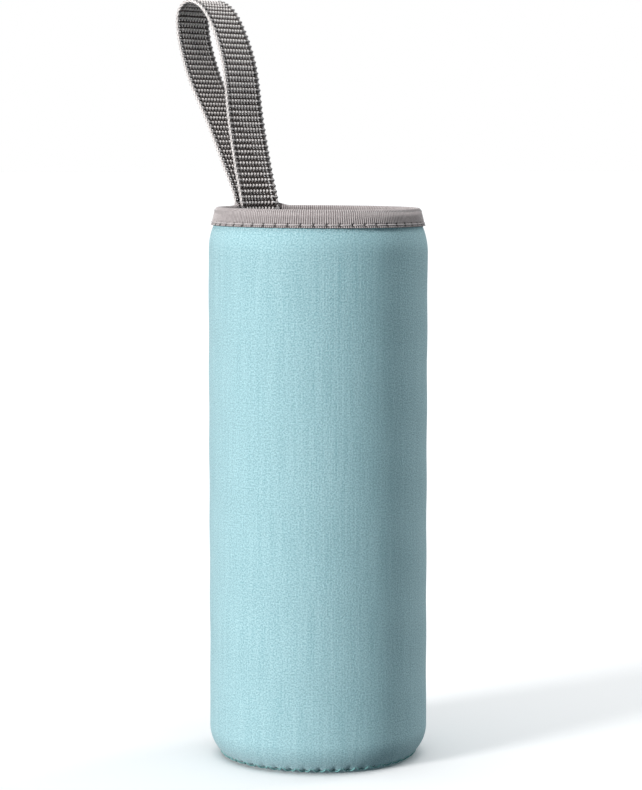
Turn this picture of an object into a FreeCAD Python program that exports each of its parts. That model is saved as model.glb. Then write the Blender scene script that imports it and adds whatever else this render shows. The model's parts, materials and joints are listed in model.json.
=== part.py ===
import FreeCAD, Part
import math
import os
import Sketcher

# Insulating bottle sleeve: a soft tube with a round base, a bound rim and a woven wrist loop.
# The frame is millimetres, +Z up.  The origin is the centre of the underside of the base, and
# the wrist loop and the closing seam of the tube are on the +Y side.

X_AXIS = FreeCAD.Vector(1, 0, 0)
Z_AXIS = FreeCAD.Vector(0, 0, 1)
ORIGIN = FreeCAD.Vector(0, 0, 0)

# Driving dimensions, in millimetres, degrees and whole counts.
DIMENSIONS = {
    # the tube and its laminate of face fabric, foam and lining
    "sleeve_height": 181.0,
    "outer_radius": 36.0,
    "face_gauge": 0.3,
    "foam_gauge": 2.4,
    "lining_gauge": 0.3,
    # where the wall turns in to the base seam and to the bound rim
    "foot_height": 10.0,
    "seam_height": 1.3,
    "seam_pinched_wall": 1.0,
    "base_tuck": 2.0,
    "base_flat_inset": 4.0,
    "shoulder_height": 8.0,
    # the folded binding and what it pinches
    "binding_depth": 6.4,
    "binding_gauge": 0.6,
    "binding_taper": 0.45,
    "mouth_draw_in": 1.4,
    "pinched_wall": 2.2,
    "cut_edge_drop": 0.9,
    # rim lockstitch
    "rim_stitch_rise": 1.5,
    "rim_stitch_count": 52,
    "rim_stitch_gap_angle": 1.4,
    "rim_thread_radius": 0.12,
    "stitch_groove_half_width": 0.3,
    "stitch_groove_bend": 0.306,
    # base overlock, each stitch bent round the seam
    "base_stitch_count": 42,
    "base_thread_radius": 0.2,
    "base_stitch_bend": 1.35,
    "base_stitch_rise": 0.7,
    "base_stitch_start_angle": -124.0,
    "base_stitch_sweep": 112.0,
    # zigzag that closes the tube down its back
    "back_thread": 0.3,
    "back_stitch_half_width": 1.6,
    "back_stitch_pitch": 4.0,
    "back_stitch_gap": 0.4,
    "back_seam_margin": 6.0,
    # webbing of the wrist loop
    "strap_width": 16.0,
    "strap_gauge": 1.2,
    "strap_tail_length": 6.0,
    "flex_clearance": 0.3,
    "lean_angle": 13.0,
    "leg_length": 51.0,
    "back_bend_radius": 23.0,
    "back_bend_angle": 67.0,
    "crown_bend_radius": 7.0,
    # bar tacks that hold the tails of the loop
    "bartack_length": 12.0,
    "bartack_thread_radius": 0.15,
    "bartack_foot": 2.0,
    "bartack_row_pitch": 1.2,
    "bartack_rows": 3,
}

doc = FreeCAD.newDocument("bottle_sleeve")
sheet = doc.addObject("Spreadsheet::Sheet", "sizes")


def fill_sheet():
    """One row per dimension: its name, and its value under an alias."""
    for row, (name, value) in enumerate(DIMENSIONS.items(), start=1):
        sheet.set(f"A{row}", name)
        sheet.set(f"B{row}", str(value))
        sheet.setAlias(f"B{row}", name)
    doc.recompute()


def formula(text):
    """Writes sheet cell names in full, so that any object can use the expression."""
    words = []
    for word in text.replace("(", " ( ").replace(")", " ) ").split():
        words.append(f"sizes.{word}" if word in DIMENSIONS else word)
    return " ".join(words).replace("sqrt (", "sqrt(").replace("sin (", "sin(") \
        .replace("cos (", "cos(").replace("floor (", "floor(")


def value(text):
    """The number that a formula gives with the sheet as it stands."""
    return float(sheet.evalExpression(formula(text)))


fill_sheet()


def bend_radius(run, drop):
    """Radius of an arc that leaves a straight wall tangentially and moves in by drop over run."""
    return f"( ( {run} ^ 2 + {drop} ^ 2 ) / ( 2 * {drop} ) )"


# Heights and radii that several pieces share, as formulas of the sheet's cells.
LAMINATE = "( face_gauge + foam_gauge + lining_gauge )"
CAVITY_RADIUS = f"( outer_radius - {LAMINATE} )"
MOUTH_RADIUS = f"( {CAVITY_RADIUS} - mouth_draw_in )"
BASE_RADIUS = f"( {CAVITY_RADIUS} - base_tuck )"
BINDING_FOOT = "( sleeve_height - binding_depth )"
WALL_TOP = f"( {BINDING_FOOT} - shoulder_height )"
PINCH_INNER = f"( {MOUTH_RADIUS} + binding_gauge )"
PINCH_OUTER = f"( {PINCH_INNER} + pinched_wall )"
CREST_RADIUS = "( binding_gauge + pinched_wall / 2 - binding_taper / 2 )"
CREST_FOOT = f"( sleeve_height - {CREST_RADIUS} )"
CUT_EDGE = "( sleeve_height - cut_edge_drop )"
BINDING_OUTER = f"( {PINCH_OUTER} + binding_gauge )"
STITCH_LINE = f"( {BINDING_FOOT} + rim_stitch_rise )"
FOOT_RISE = "( foot_height - seam_height )"
FOOT_BEND = bend_radius(FOOT_RISE, f"( {LAMINATE} + base_tuck - seam_pinched_wall )")
SHOULDER_BEND = bend_radius("shoulder_height", f"( outer_radius - {PINCH_OUTER} )")
LEG_SPACING = f"( {BINDING_OUTER} - {MOUTH_RADIUS} )"
FLEX_RADIUS = f"( {MOUTH_RADIUS} + strap_gauge / 2 + {LEG_SPACING} / 2 )"
FLEX_HEIGHT = f"( sleeve_height + flex_clearance + {LEG_SPACING} / 2 + strap_gauge / 2 )"
INNER_LEG = f"( {FLEX_RADIUS} - {LEG_SPACING} / 2 )"
OUTER_LEG = f"( {FLEX_RADIUS} + {LEG_SPACING} / 2 )"
TAIL_FOOT = "( sleeve_height - strap_tail_length )"


def new_body(label):
    body = doc.addObject("PartDesign::Body", label)
    body.Label = label
    body.AllowCompound = True
    return body


def origin_feature(body, role):
    for feature in body.Origin.OriginFeatures:
        if feature.Role == role:
            return feature
    raise RuntimeError(f"{body.Label} has no {role}")


def new_sketch(body, name, role):
    sketch = body.newObject("Sketcher::SketchObject", name)
    sketch.AttachmentSupport = (origin_feature(body, role), "")
    sketch.MapMode = "FlatFace"
    return sketch


def constrain(sketch, constraint, text):
    """Adds a dimension to a sketch and binds it to a formula of the sheet."""
    index = sketch.addConstraint(constraint)
    sketch.setExpression(f"Constraints[{index}]", formula(text))


def arc_through(start, end, radius, left):
    """An arc of a circle from start to end, with its centre to the left or right of the chord."""
    chord = end - start
    rise = math.sqrt(max(radius ** 2 - (chord.Length / 2) ** 2, 0.0))
    side = Z_AXIS.cross(chord).normalize() * (rise if left else -rise)
    centre = start + chord * 0.5 + side
    first = math.atan2(start.y - centre.y, start.x - centre.x)
    last = math.atan2(end.y - centre.y, end.x - centre.x)
    circle = Part.Circle(centre, Z_AXIS, radius)
    if left:
        return Part.ArcOfCircle(circle, first, last if last > first else last + 2 * math.pi), False
    return Part.ArcOfCircle(circle, last, first if first > last else first + 2 * math.pi), True


def closed_outline(sketch, corners):
    """Draws a closed outline.  Each corner is (across, up), and a corner with two more entries,
    a radius and "left" or "right", starts an arc whose centre lies on that side of its chord."""
    places = [FreeCAD.Vector(value(corner[0]), value(corner[1]), 0) for corner in corners]
    ends = []
    for index, corner in enumerate(corners):
        start = places[index]
        end = places[(index + 1) % len(corners)]
        if len(corner) == 2:
            edge = sketch.addGeometry(Part.LineSegment(start, end), False)
            ends.append((edge, 1, 2))
        else:
            arc, reversed_arc = arc_through(start, end, value(corner[2]), corner[3] == "left")
            edge = sketch.addGeometry(arc, False)
            ends.append((edge, 2, 1) if reversed_arc else (edge, 1, 2))
    for index, corner in enumerate(corners):
        edge, start_point, _ = ends[index]
        previous, _, end_point = ends[index - 1]
        sketch.addConstraint(Sketcher.Constraint("Coincident", previous, end_point, edge, start_point))
    for index, corner in enumerate(corners):
        edge, start_point, _ = ends[index]
        across = Sketcher.Constraint("DistanceX", -1, 1, edge, start_point, places[index].x)
        constrain(sketch, across, corner[0])
        height = Sketcher.Constraint("DistanceY", -1, 1, edge, start_point, places[index].y)
        constrain(sketch, height, corner[1])
        if len(corner) == 4:
            constrain(sketch, Sketcher.Constraint("Radius", edge, value(corner[2])), corner[2])


def revolved_piece(label, corners):
    """A ring or disc: an outline of (radius, height) corners turned about the Z axis."""
    body = new_body(label)
    sketch = new_sketch(body, f"{label}_outline", "XZ_Plane")
    closed_outline(sketch, corners)
    doc.recompute()
    turn = body.newObject("PartDesign::Revolution", f"{label}_turn")
    turn.Profile = sketch
    turn.ReferenceAxis = (sketch, ["V_Axis"])
    turn.Angle = 360.0
    sketch.Visibility = False
    doc.recompute()
    return body


def foot_radius(inset):
    """Radius at the seam of the surface that lies inset below the tube's face."""
    return f"( outer_radius - {FOOT_BEND} + sqrt ( ( {FOOT_BEND} - {inset} ) ^ 2 - {FOOT_RISE} ^ 2 ) )"


def wall_outline(inset_outer, inner_edge):
    """Outer side of a wall layer from the seam up to the cut edge, then its inner side down."""
    at_rim = f"( {PINCH_OUTER} - {inset_outer} )"
    corners = [
        (foot_radius(inset_outer), "seam_height", f"( {FOOT_BEND} - {inset_outer} )", "left"),
        (f"( outer_radius - {inset_outer} )", "foot_height"),
        (f"( outer_radius - {inset_outer} )", WALL_TOP, f"( {SHOULDER_BEND} - {inset_outer} )", "left"),
        (at_rim, BINDING_FOOT),
        (f"( {at_rim} - binding_taper )", CUT_EDGE),
    ]
    return corners + inner_edge


def tube_layers():
    """Face fabric, foam and lining of the tube."""
    foam_inner = f"( {CAVITY_RADIUS} + lining_gauge )"
    pinch_foam = f"( {PINCH_INNER} + lining_gauge )"
    revolved_piece("body_face_fabric", wall_outline("0", [
        (f"( {PINCH_OUTER} - face_gauge - binding_taper )", CUT_EDGE),
        (f"( {PINCH_OUTER} - face_gauge )", BINDING_FOOT, f"( {SHOULDER_BEND} - face_gauge )", "right"),
        ("( outer_radius - face_gauge )", WALL_TOP),
        ("( outer_radius - face_gauge )", "foot_height", f"( {FOOT_BEND} - face_gauge )", "right"),
        (foot_radius("face_gauge"), "seam_height"),
    ]))
    revolved_piece("body_foam", wall_outline("face_gauge", [
        (pinch_foam, CUT_EDGE),
        (pinch_foam, BINDING_FOOT),
        (foam_inner, WALL_TOP),
        (foam_inner, "foot_height"),
        (f"( {BASE_RADIUS} + lining_gauge )", LAMINATE),
        (f"( {BASE_RADIUS} + lining_gauge )", "seam_height"),
    ]))
    revolved_piece("body_lining", [
        (BASE_RADIUS, "seam_height"),
        (f"( {BASE_RADIUS} + lining_gauge )", "seam_height"),
        (f"( {BASE_RADIUS} + lining_gauge )", LAMINATE),
        (foam_inner, "foot_height"),
        (foam_inner, WALL_TOP),
        (pinch_foam, BINDING_FOOT),
        (pinch_foam, CUT_EDGE),
        (PINCH_INNER, CUT_EDGE),
        (PINCH_INNER, BINDING_FOOT),
        (CAVITY_RADIUS, WALL_TOP),
        (CAVITY_RADIUS, "foot_height"),
        (BASE_RADIUS, LAMINATE),
    ])


def base_layers():
    """Face fabric, foam and lining of the base disc, whose edge butts the inside of the tube."""
    flat_radius = f"( {BASE_RADIUS} - base_flat_inset )"
    edge_bend = "( ( base_flat_inset ^ 2 + seam_height ^ 2 ) / ( 2 * seam_height ) )"
    inner_bend = f"( {edge_bend} - face_gauge )"
    inner_rise = f"( face_gauge + {inner_bend} - sqrt ( {inner_bend} ^ 2 - base_flat_inset ^ 2 ) )"
    foam_top = "( face_gauge + foam_gauge )"
    revolved_piece("base_face_fabric", [
        ("0", "0"),
        (flat_radius, "0", edge_bend, "left"),
        (BASE_RADIUS, "seam_height"),
        (BASE_RADIUS, inner_rise, inner_bend, "right"),
        (flat_radius, "face_gauge"),
        ("0", "face_gauge"),
    ])
    revolved_piece("base_foam", [
        ("0", "face_gauge"),
        (flat_radius, "face_gauge", inner_bend, "left"),
        (BASE_RADIUS, inner_rise),
        (BASE_RADIUS, foam_top),
        ("0", foam_top),
    ])
    revolved_piece("base_lining", [
        ("0", foam_top),
        (BASE_RADIUS, foam_top),
        (BASE_RADIUS, LAMINATE),
        ("0", LAMINATE),
    ])


def rim_binding():
    """Tape folded over the cut edge, with a stitch groove sunk in its inner and outer faces."""
    outer_lean = f"( binding_taper / ( {CREST_FOOT} - {BINDING_FOOT} ) )"
    below = "( rim_stitch_rise - stitch_groove_half_width )"
    above = "( rim_stitch_rise + stitch_groove_half_width )"
    return revolved_piece("rim_binding", [
        (BINDING_OUTER, BINDING_FOOT),
        (f"( {BINDING_OUTER} - {outer_lean} * {below} )", f"( {BINDING_FOOT} + {below} )",
         "stitch_groove_bend", "right"),
        (f"( {BINDING_OUTER} - {outer_lean} * {above} )", f"( {BINDING_FOOT} + {above} )"),
        (f"( {BINDING_OUTER} - binding_taper )", CREST_FOOT, CREST_RADIUS, "left"),
        (f"( {MOUTH_RADIUS} + {CREST_RADIUS} )", "sleeve_height", CREST_RADIUS, "left"),
        (MOUTH_RADIUS, CREST_FOOT),
        (MOUTH_RADIUS, f"( {BINDING_FOOT} + {above} )", "stitch_groove_bend", "right"),
        (MOUTH_RADIUS, f"( {BINDING_FOOT} + {below} )"),
        (MOUTH_RADIUS, BINDING_FOOT),
        (PINCH_INNER, BINDING_FOOT),
        (PINCH_INNER, CUT_EDGE),
        (f"( {PINCH_OUTER} - binding_taper )", CUT_EDGE),
        (PINCH_OUTER, BINDING_FOOT),
    ])


def ring_of_stitches(label, thread_radius, ring_radius, height, count, half_angle):
    """Stitches that lie along a circle: a short arc of thread, repeated round the Z axis."""
    body = new_body(label)
    stitch = body.newObject("PartDesign::AdditiveTorus", f"{label}_stitch")
    stitch.setExpression("Radius1", formula(ring_radius))
    stitch.setExpression("Radius2", formula(thread_radius))
    stitch.setExpression("Angle3", formula(f"( 360 / {count} - 2 * {half_angle} )"))
    stitch.setExpression("AttachmentOffset.Base.z", formula(height))
    stitch.AttachmentSupport = (origin_feature(body, "XY_Plane"), "")
    stitch.MapMode = "FlatFace"
    doc.recompute()
    repeat_round(body, stitch, count)
    return body


def repeat_round(body, feature, count):
    """Polar pattern of one feature about the body's own Z axis."""
    pattern = body.newObject("PartDesign::PolarPattern", f"{body.Label}_round")
    pattern.Originals = [feature]
    pattern.Axis = (origin_feature(body, "Z_Axis"), [""])
    pattern.Angle = 360.0
    pattern.setExpression("Occurrences", formula(count))
    body.Tip = pattern
    doc.recompute()
    return pattern


def rim_threads():
    """Lockstitch of the binding: needle thread outside and bobbin thread inside, in the grooves."""
    lean = f"( binding_taper / ( {CREST_FOOT} - {BINDING_FOOT} ) )"
    outer = f"( {BINDING_OUTER} - {lean} * rim_stitch_rise - rim_thread_radius )"
    inner = f"( {MOUTH_RADIUS} + rim_thread_radius )"
    for label, radius in (("rim_needle_thread", outer), ("rim_bobbin_thread", inner)):
        ring_of_stitches(label, "rim_thread_radius", radius, STITCH_LINE,
                         "rim_stitch_count", "rim_stitch_gap_angle")


def strap_path(sketch):
    """Centre line of the loop, as (outward, up): a leaning leg, a wide bend, a tight crown and
    a second leg that comes straight back down."""
    lean = math.radians(value("lean_angle"))
    turned = lean + math.radians(value("back_bend_angle"))
    back_radius = value("back_bend_radius")
    crown_radius = value("crown_bend_radius")

    def right_of(heading):
        return FreeCAD.Vector(math.cos(heading), -math.sin(heading), 0)

    start = FreeCAD.Vector(value(INNER_LEG), value(FLEX_HEIGHT), 0)
    finish = FreeCAD.Vector(value(OUTER_LEG), value(FLEX_HEIGHT), 0)
    leg_end = start + FreeCAD.Vector(math.sin(lean), math.cos(lean), 0) * value("leg_length")
    back_end = leg_end + (right_of(lean) - right_of(turned)) * back_radius
    crown_centre = back_end + right_of(turned) * crown_radius
    away = finish - crown_centre
    tangent = math.atan2(away.y, away.x) + math.acos(crown_radius / away.Length)
    crown_end = crown_centre + FreeCAD.Vector(math.cos(tangent), math.sin(tangent), 0) * crown_radius
    if tangent > math.pi - turned:
        raise RuntimeError("the crown of the loop doesn't turn back to its second leg")
    first = sketch.addGeometry(Part.LineSegment(start, leg_end), False)
    back = sketch.addGeometry(arc_through(leg_end, back_end, back_radius, False)[0], False)
    crown_turn = Part.ArcOfCircle(Part.Circle(crown_centre, Z_AXIS, crown_radius),
                                  tangent, math.pi - turned)
    crown = sketch.addGeometry(crown_turn, False)
    second = sketch.addGeometry(Part.LineSegment(crown_end, finish), False)
    sketch.addConstraint(Sketcher.Constraint("Tangent", first, 2, back, 2))
    sketch.addConstraint(Sketcher.Constraint("Tangent", back, 1, crown, 2))
    sketch.addConstraint(Sketcher.Constraint("Tangent", crown, 1, second, 1))
    for edge, point, place, across, up in (
        (first, 1, start, INNER_LEG, FLEX_HEIGHT),
        (first, 2, leg_end, f"( {INNER_LEG} + leg_length * sin ( lean_angle ) )",
         f"( {FLEX_HEIGHT} + leg_length * cos ( lean_angle ) )"),
        (second, 2, finish, OUTER_LEG, FLEX_HEIGHT),
    ):
        constrain(sketch, Sketcher.Constraint("DistanceX", -1, 1, edge, point, place.x), across)
        constrain(sketch, Sketcher.Constraint("DistanceY", -1, 1, edge, point, place.y), up)
    constrain(sketch, Sketcher.Constraint("Radius", back, back_radius), "back_bend_radius")
    constrain(sketch, Sketcher.Constraint("Angle", back, turned - lean), "back_bend_angle")
    constrain(sketch, Sketcher.Constraint("Radius", crown, crown_radius), "crown_bend_radius")


def rectangle(sketch, left, bottom, right, top):
    """A closed rectangle from four formulas."""
    closed_outline(sketch, [(left, bottom), (right, bottom), (right, top), (left, top)])


def strap_loop():
    """The free loop: the flat section of the webbing carried along the path."""
    body = new_body("strap_loop")
    path = new_sketch(body, "strap_path", "YZ_Plane")
    strap_path(path)
    doc.recompute()
    section = body.newObject("Sketcher::SketchObject", "strap_section")
    section.AttachmentSupport = [(path, "Edge1")]
    section.MapMode = "NormalToEdge"
    doc.recompute()
    across = section.Placement.Rotation.multVec(X_AXIS)
    sizes = ["( strap_width / 2 )", "( strap_gauge / 2 )"]
    if abs(across.x) < 0.5:
        sizes.reverse()
    wide, thick = sizes
    rectangle(section, f"( 0 - {wide} )", f"( 0 - {thick} )", wide, thick)
    doc.recompute()
    sweep = body.newObject("PartDesign::AdditivePipe", "strap_sweep")
    sweep.Profile = section
    sweep.Spine = (path, ["Edge1", "Edge2", "Edge3", "Edge4"])
    doc.recompute()
    return body


def tail_turn(body, feature_type, name, sketch):
    """Turns a tail's outline about the Z axis through the width of the webbing."""
    turn = body.newObject(feature_type, name)
    turn.Profile = sketch
    turn.ReferenceAxis = (sketch, ["V_Axis"])
    turn.Midplane = True
    turn.setExpression("Angle", formula(f"( 2 * asin ( strap_width / 2 / {FLEX_RADIUS} ) )"))
    sketch.Visibility = False
    doc.recompute()


def strap_tail_outer():
    """End of the webbing sewn over the outside of the binding, which it follows round."""
    body = new_body("strap_tail_outer")
    sketch = new_sketch(body, "strap_tail_outer_outline", "YZ_Plane")
    rectangle(sketch, BINDING_OUTER, TAIL_FOOT, f"( {BINDING_OUTER} + strap_gauge )", "sleeve_height")
    tail_turn(body, "PartDesign::Revolution", "strap_tail_outer_turn", sketch)


def strap_tail_inner():
    """End of the webbing let into the inside of the rim, so that the mouth stays round.  The
    stitch groove of the binding runs on across it."""
    body = new_body("strap_tail_inner")
    sketch = new_sketch(body, "strap_tail_inner_outline", "YZ_Plane")
    closed_outline(sketch, [
        (MOUTH_RADIUS, TAIL_FOOT),
        (f"( {MOUTH_RADIUS} + strap_gauge )", TAIL_FOOT),
        (f"( {MOUTH_RADIUS} + strap_gauge )", "sleeve_height"),
        (MOUTH_RADIUS, "sleeve_height"),
        (MOUTH_RADIUS, f"( {STITCH_LINE} + stitch_groove_half_width )", "stitch_groove_bend", "right"),
        (MOUTH_RADIUS, f"( {STITCH_LINE} - stitch_groove_half_width )"),
    ])
    tail_turn(body, "PartDesign::Revolution", "strap_tail_inner_turn", sketch)


def seat_for_tail(body):
    """Lets the inner tail into a piece of the rim: a slot as wide and as deep as the webbing."""
    before = body.Shape.Volume
    sketch = new_sketch(body, f"{body.Label}_tail_seat", "YZ_Plane")
    rectangle(sketch, f"( {MOUTH_RADIUS} - strap_gauge )", TAIL_FOOT, f"( {MOUTH_RADIUS} + strap_gauge )",
              "( sleeve_height + strap_gauge )")
    tail_turn(body, "PartDesign::Groove", f"{body.Label}_tail_slot", sketch)
    if body.Shape.Volume >= before:
        raise RuntimeError(f"the tail slot cut nothing from {body.Label}")


def base_seam_stitches():
    """Overlock of the base: each stitch bends round the outside of the seam in a radial plane."""
    body = new_body("base_seam_stitches")
    stitch = body.newObject("PartDesign::AdditiveTorus", "base_stitch")
    stitch.setExpression("Radius1", formula("base_stitch_bend"))
    stitch.setExpression("Radius2", formula("base_thread_radius"))
    stitch.setExpression("Angle3", formula("base_stitch_sweep"))
    stitch.AttachmentSupport = (origin_feature(body, "XZ_Plane"), "")
    stitch.MapMode = "FlatFace"
    turn = FreeCAD.Rotation(Z_AXIS, value("base_stitch_start_angle"))
    stitch.AttachmentOffset = FreeCAD.Placement(ORIGIN, turn)
    stitch.setExpression("AttachmentOffset.Base.x", formula(f"( {BASE_RADIUS} + lining_gauge )"))
    stitch.setExpression("AttachmentOffset.Base.y", formula("( seam_height + base_stitch_rise )"))
    doc.recompute()
    repeat_round(body, stitch, "base_stitch_count")
    return body


def back_seam_stitches():
    """Zigzag that closes the tube: one V of flat thread, repeated up the back."""
    body = new_body("back_seam_stitches")
    sketch = new_sketch(body, "back_stitch_outline", "XZ_Plane")
    low = "( foot_height + back_seam_margin )"
    high = f"( {low} + back_stitch_pitch - back_stitch_gap )"
    mid = f"( ( {low} + {high} - back_thread ) / 2 )"
    closed_outline(sketch, [
        ("( 0 - back_stitch_half_width )", low),
        ("back_stitch_half_width", mid),
        ("back_stitch_half_width", f"( {mid} + back_thread )"),
        ("( 0 - back_stitch_half_width )", high),
        ("( 0 - back_stitch_half_width )", f"( {high} - back_thread )"),
        ("( back_stitch_half_width - 2 * back_thread )", f"( {mid} + back_thread / 2 )"),
        ("( 0 - back_stitch_half_width )", f"( {low} + back_thread )"),
    ])
    sketch.setExpression("AttachmentOffset.Base.z", formula("( 0 - outer_radius )"))
    doc.recompute()
    pad = body.newObject("PartDesign::Pad", "back_stitch_pad")
    pad.Profile = sketch
    pad.Reversed = True
    pad.setExpression("Length", formula("back_thread"))
    doc.recompute()
    rows = f"( floor ( ( {WALL_TOP} - foot_height - 2 * back_seam_margin ) / back_stitch_pitch ) )"
    repeat_up(body, pad, rows, "back_stitch_pitch")
    return body


def repeat_up(body, feature, count, pitch):
    """Linear pattern of one feature along the body's own Z axis."""
    pattern = body.newObject("PartDesign::LinearPattern", f"{body.Label}_up")
    pattern.Originals = [feature]
    pattern.Direction = (origin_feature(body, "Z_Axis"), [""])
    pattern.setExpression("Length", formula(f"( ( {count} - 1 ) * {pitch} )"))
    pattern.setExpression("Occurrences", formula(count))
    body.Tip = pattern
    doc.recompute()
    return pattern


def strap_bartack(label, ring):
    """Bars of thread across a strap tail, bent round at a ring radius."""
    body = new_body(label)
    bar = body.newObject("PartDesign::AdditiveTorus", f"{label}_bar")
    half_angle = f"( asin ( bartack_length / 2 / {ring} ) )"
    bar.setExpression("Radius1", formula(ring))
    bar.setExpression("Radius2", formula("bartack_thread_radius"))
    bar.setExpression("Angle3", formula(f"( 2 * {half_angle} )"))
    bar.AttachmentSupport = (origin_feature(body, "XY_Plane"), "")
    bar.MapMode = "FlatFace"
    bar.AttachmentOffset = FreeCAD.Placement(ORIGIN, FreeCAD.Rotation(Z_AXIS, 90.0 - value(half_angle)))
    bar.setExpression("AttachmentOffset.Base.z", formula(f"( {TAIL_FOOT} + bartack_foot )"))
    doc.recompute()
    repeat_up(body, bar, "bartack_rows", "bartack_row_pitch")


def strap_bartacks():
    """The inner bars are pulled flush into the webbing, and the outer bars lie on it."""
    strap_bartack("strap_bartack_inner", f"( {MOUTH_RADIUS} + bartack_thread_radius )")
    strap_bartack("strap_bartack_outer", f"( {BINDING_OUTER} + strap_gauge + bartack_thread_radius )")


def export_nodes():
    """Checks every object of the document, then writes one STEP file for each piece."""
    bodies = [obj for obj in doc.Objects if obj.TypeId == "PartDesign::Body"]
    for obj in doc.Objects:
        if "Invalid" in obj.State or "Error" in obj.State:
            raise RuntimeError(f"{obj.Label} failed: {obj.State}")
    for body in bodies:
        if body.Shape.isNull() or not body.Shape.isValid() or body.Shape.Volume <= 0:
            raise RuntimeError(f"{body.Label} has no valid shape")
    os.makedirs("parts", exist_ok=True)
    for body in bodies:
        body.Shape.exportStep(f"parts/{body.Label}.step")
        print(f"{body.Label}: {len(body.Shape.Solids)} solids, {body.Shape.Volume:.1f} mm3")


tube_layers()
base_layers()
rim_binding()
rim_threads()
base_seam_stitches()
back_seam_stitches()
strap_tail_inner()
strap_tail_outer()
strap_bartacks()
strap_loop()
for pinched in ("body_lining", "body_foam", "rim_binding"):
    seat_for_tail(doc.getObject(pinched))
export_nodes()
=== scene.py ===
# %% [markdown]
# # An insulating bottle sleeve
# The object is a soft tube that a drinking bottle stands in.  Its wall is foam rubber with a
# knitted face, its mouth is bound with ribbed tape, and a woven wrist loop is sewn to the rim.
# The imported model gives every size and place, so it is loaded first and never changed.

# %% Load the frame
import json
import math

import bmesh
import bpy
import numpy as np
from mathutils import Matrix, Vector


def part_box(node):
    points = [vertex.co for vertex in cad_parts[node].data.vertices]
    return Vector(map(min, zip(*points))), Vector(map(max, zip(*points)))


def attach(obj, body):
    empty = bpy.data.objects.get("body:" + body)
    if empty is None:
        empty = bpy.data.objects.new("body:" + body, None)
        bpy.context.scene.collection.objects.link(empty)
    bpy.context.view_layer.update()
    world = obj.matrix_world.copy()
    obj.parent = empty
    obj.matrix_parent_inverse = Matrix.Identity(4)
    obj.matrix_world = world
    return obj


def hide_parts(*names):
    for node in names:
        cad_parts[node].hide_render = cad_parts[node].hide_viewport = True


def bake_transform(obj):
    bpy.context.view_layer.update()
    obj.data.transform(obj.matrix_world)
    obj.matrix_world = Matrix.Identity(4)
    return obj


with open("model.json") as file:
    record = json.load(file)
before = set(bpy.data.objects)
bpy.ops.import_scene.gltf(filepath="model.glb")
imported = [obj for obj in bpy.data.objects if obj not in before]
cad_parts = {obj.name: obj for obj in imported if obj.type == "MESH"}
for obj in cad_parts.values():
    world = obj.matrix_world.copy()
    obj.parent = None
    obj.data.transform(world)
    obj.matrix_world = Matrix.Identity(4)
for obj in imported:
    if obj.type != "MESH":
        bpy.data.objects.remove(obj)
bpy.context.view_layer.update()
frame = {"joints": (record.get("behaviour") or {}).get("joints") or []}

MM = 0.001

# %% [markdown]
# Sizes are read from the frame's boxes.  Every round piece is centred on the Z axis, so half
# the width of its box is its radius, and every piece below is drawn from these few numbers.

# %% Sizes of the sleeve, from the frame


def radius_of(node):
    """Half the width of a round piece's box."""
    low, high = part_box(node)
    return (high[0] - low[0]) / 2


def height_of(node):
    """The lowest and highest point of a piece."""
    low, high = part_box(node)
    return low[2], high[2]


FACE_RADIUS = radius_of("body_face_fabric")
FOAM_RADIUS = radius_of("body_foam")
LINING_RADIUS = radius_of("body_lining")
FACE_GAUGE = FACE_RADIUS - FOAM_RADIUS
SEAM_HEIGHT, CUT_EDGE = height_of("body_face_fabric")
BINDING_FOOT, RIM_TOP = height_of("rim_binding")
BINDING_RADIUS = radius_of("rim_binding")
BOBBIN_RADIUS = radius_of("rim_bobbin_thread")
STITCH_LINE = sum(height_of("rim_needle_thread")) / 2
BASE_RADIUS = radius_of("base_face_fabric")
BASE_TOP = height_of("base_lining")[1]
STRAP_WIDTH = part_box("strap_loop")[1][0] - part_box("strap_loop")[0][0]
TAIL_LOW, TAIL_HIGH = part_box("strap_tail_inner")
TAIL_OUT_LOW, TAIL_OUT_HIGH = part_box("strap_tail_outer")
HINGE = Vector(frame["joints"][0]["pos_m"])
print(f"tube {2 * FACE_RADIUS / MM:.1f} mm across and {RIM_TOP / MM:.1f} mm tall")
print(f"webbing {STRAP_WIDTH / MM:.1f} mm wide, hinge at {[round(v / MM, 1) for v in HINGE]} mm")

# %% [markdown]
# The camera stands a little above the rim, to the front left, and looks slightly down.  A long
# lens keeps the sides of the tube nearly parallel.  The loop is on the far side, so it shows
# behind the rim on the left.

# %% Camera
VIEW_TURN = math.radians(39.3)
CAMERA_DISTANCE = 0.833
CAMERA_HEIGHT = 0.1946
CAMERA_TILT = math.radians(5.15)
CAMERA_SIDESTEP = 0.94 * MM
LENS = 115.6
SENSOR = 36.0

toward = Vector((math.sin(VIEW_TURN), math.cos(VIEW_TURN), 0))
rightward = Vector((math.cos(VIEW_TURN), -math.sin(VIEW_TURN), 0))
camera_data = bpy.data.cameras.new("studio_camera")
camera_data.lens = LENS
camera_data.sensor_width = SENSOR
camera_data.clip_start = 0.01
camera = bpy.data.objects.new("studio_camera", camera_data)
camera.location = rightward * CAMERA_SIDESTEP - toward * CAMERA_DISTANCE
camera.location.z = CAMERA_HEIGHT
camera.rotation_euler = (math.pi / 2 - CAMERA_TILT, 0, -VIEW_TURN)
bpy.context.scene.collection.objects.link(camera)
bpy.context.scene.camera = camera
bpy.context.scene.view_settings.view_transform = "Standard"
print("camera at", [round(c, 3) for c in camera.location])

# %% [markdown]
# The light is a plain studio set, made of wide soft suns, so that it falls on the floor evenly
# and leaves no edge where the floor ends.  The key comes from the front left, a weak one from
# behind on the right picks out that side, and one overhead whitens the floor.  The world is white
# to the camera and dimmer and bluer to everything else, so the sleeve keeps its shading.

# %% Lights and world
LAMP_DISTANCE = 2
WORLD_GLOW = 0.2
WORLD_TINT = (0.82, 0.93, 1.0, 1.0)
WHITE = (1.0, 1.0, 1.0, 1.0)
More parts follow.
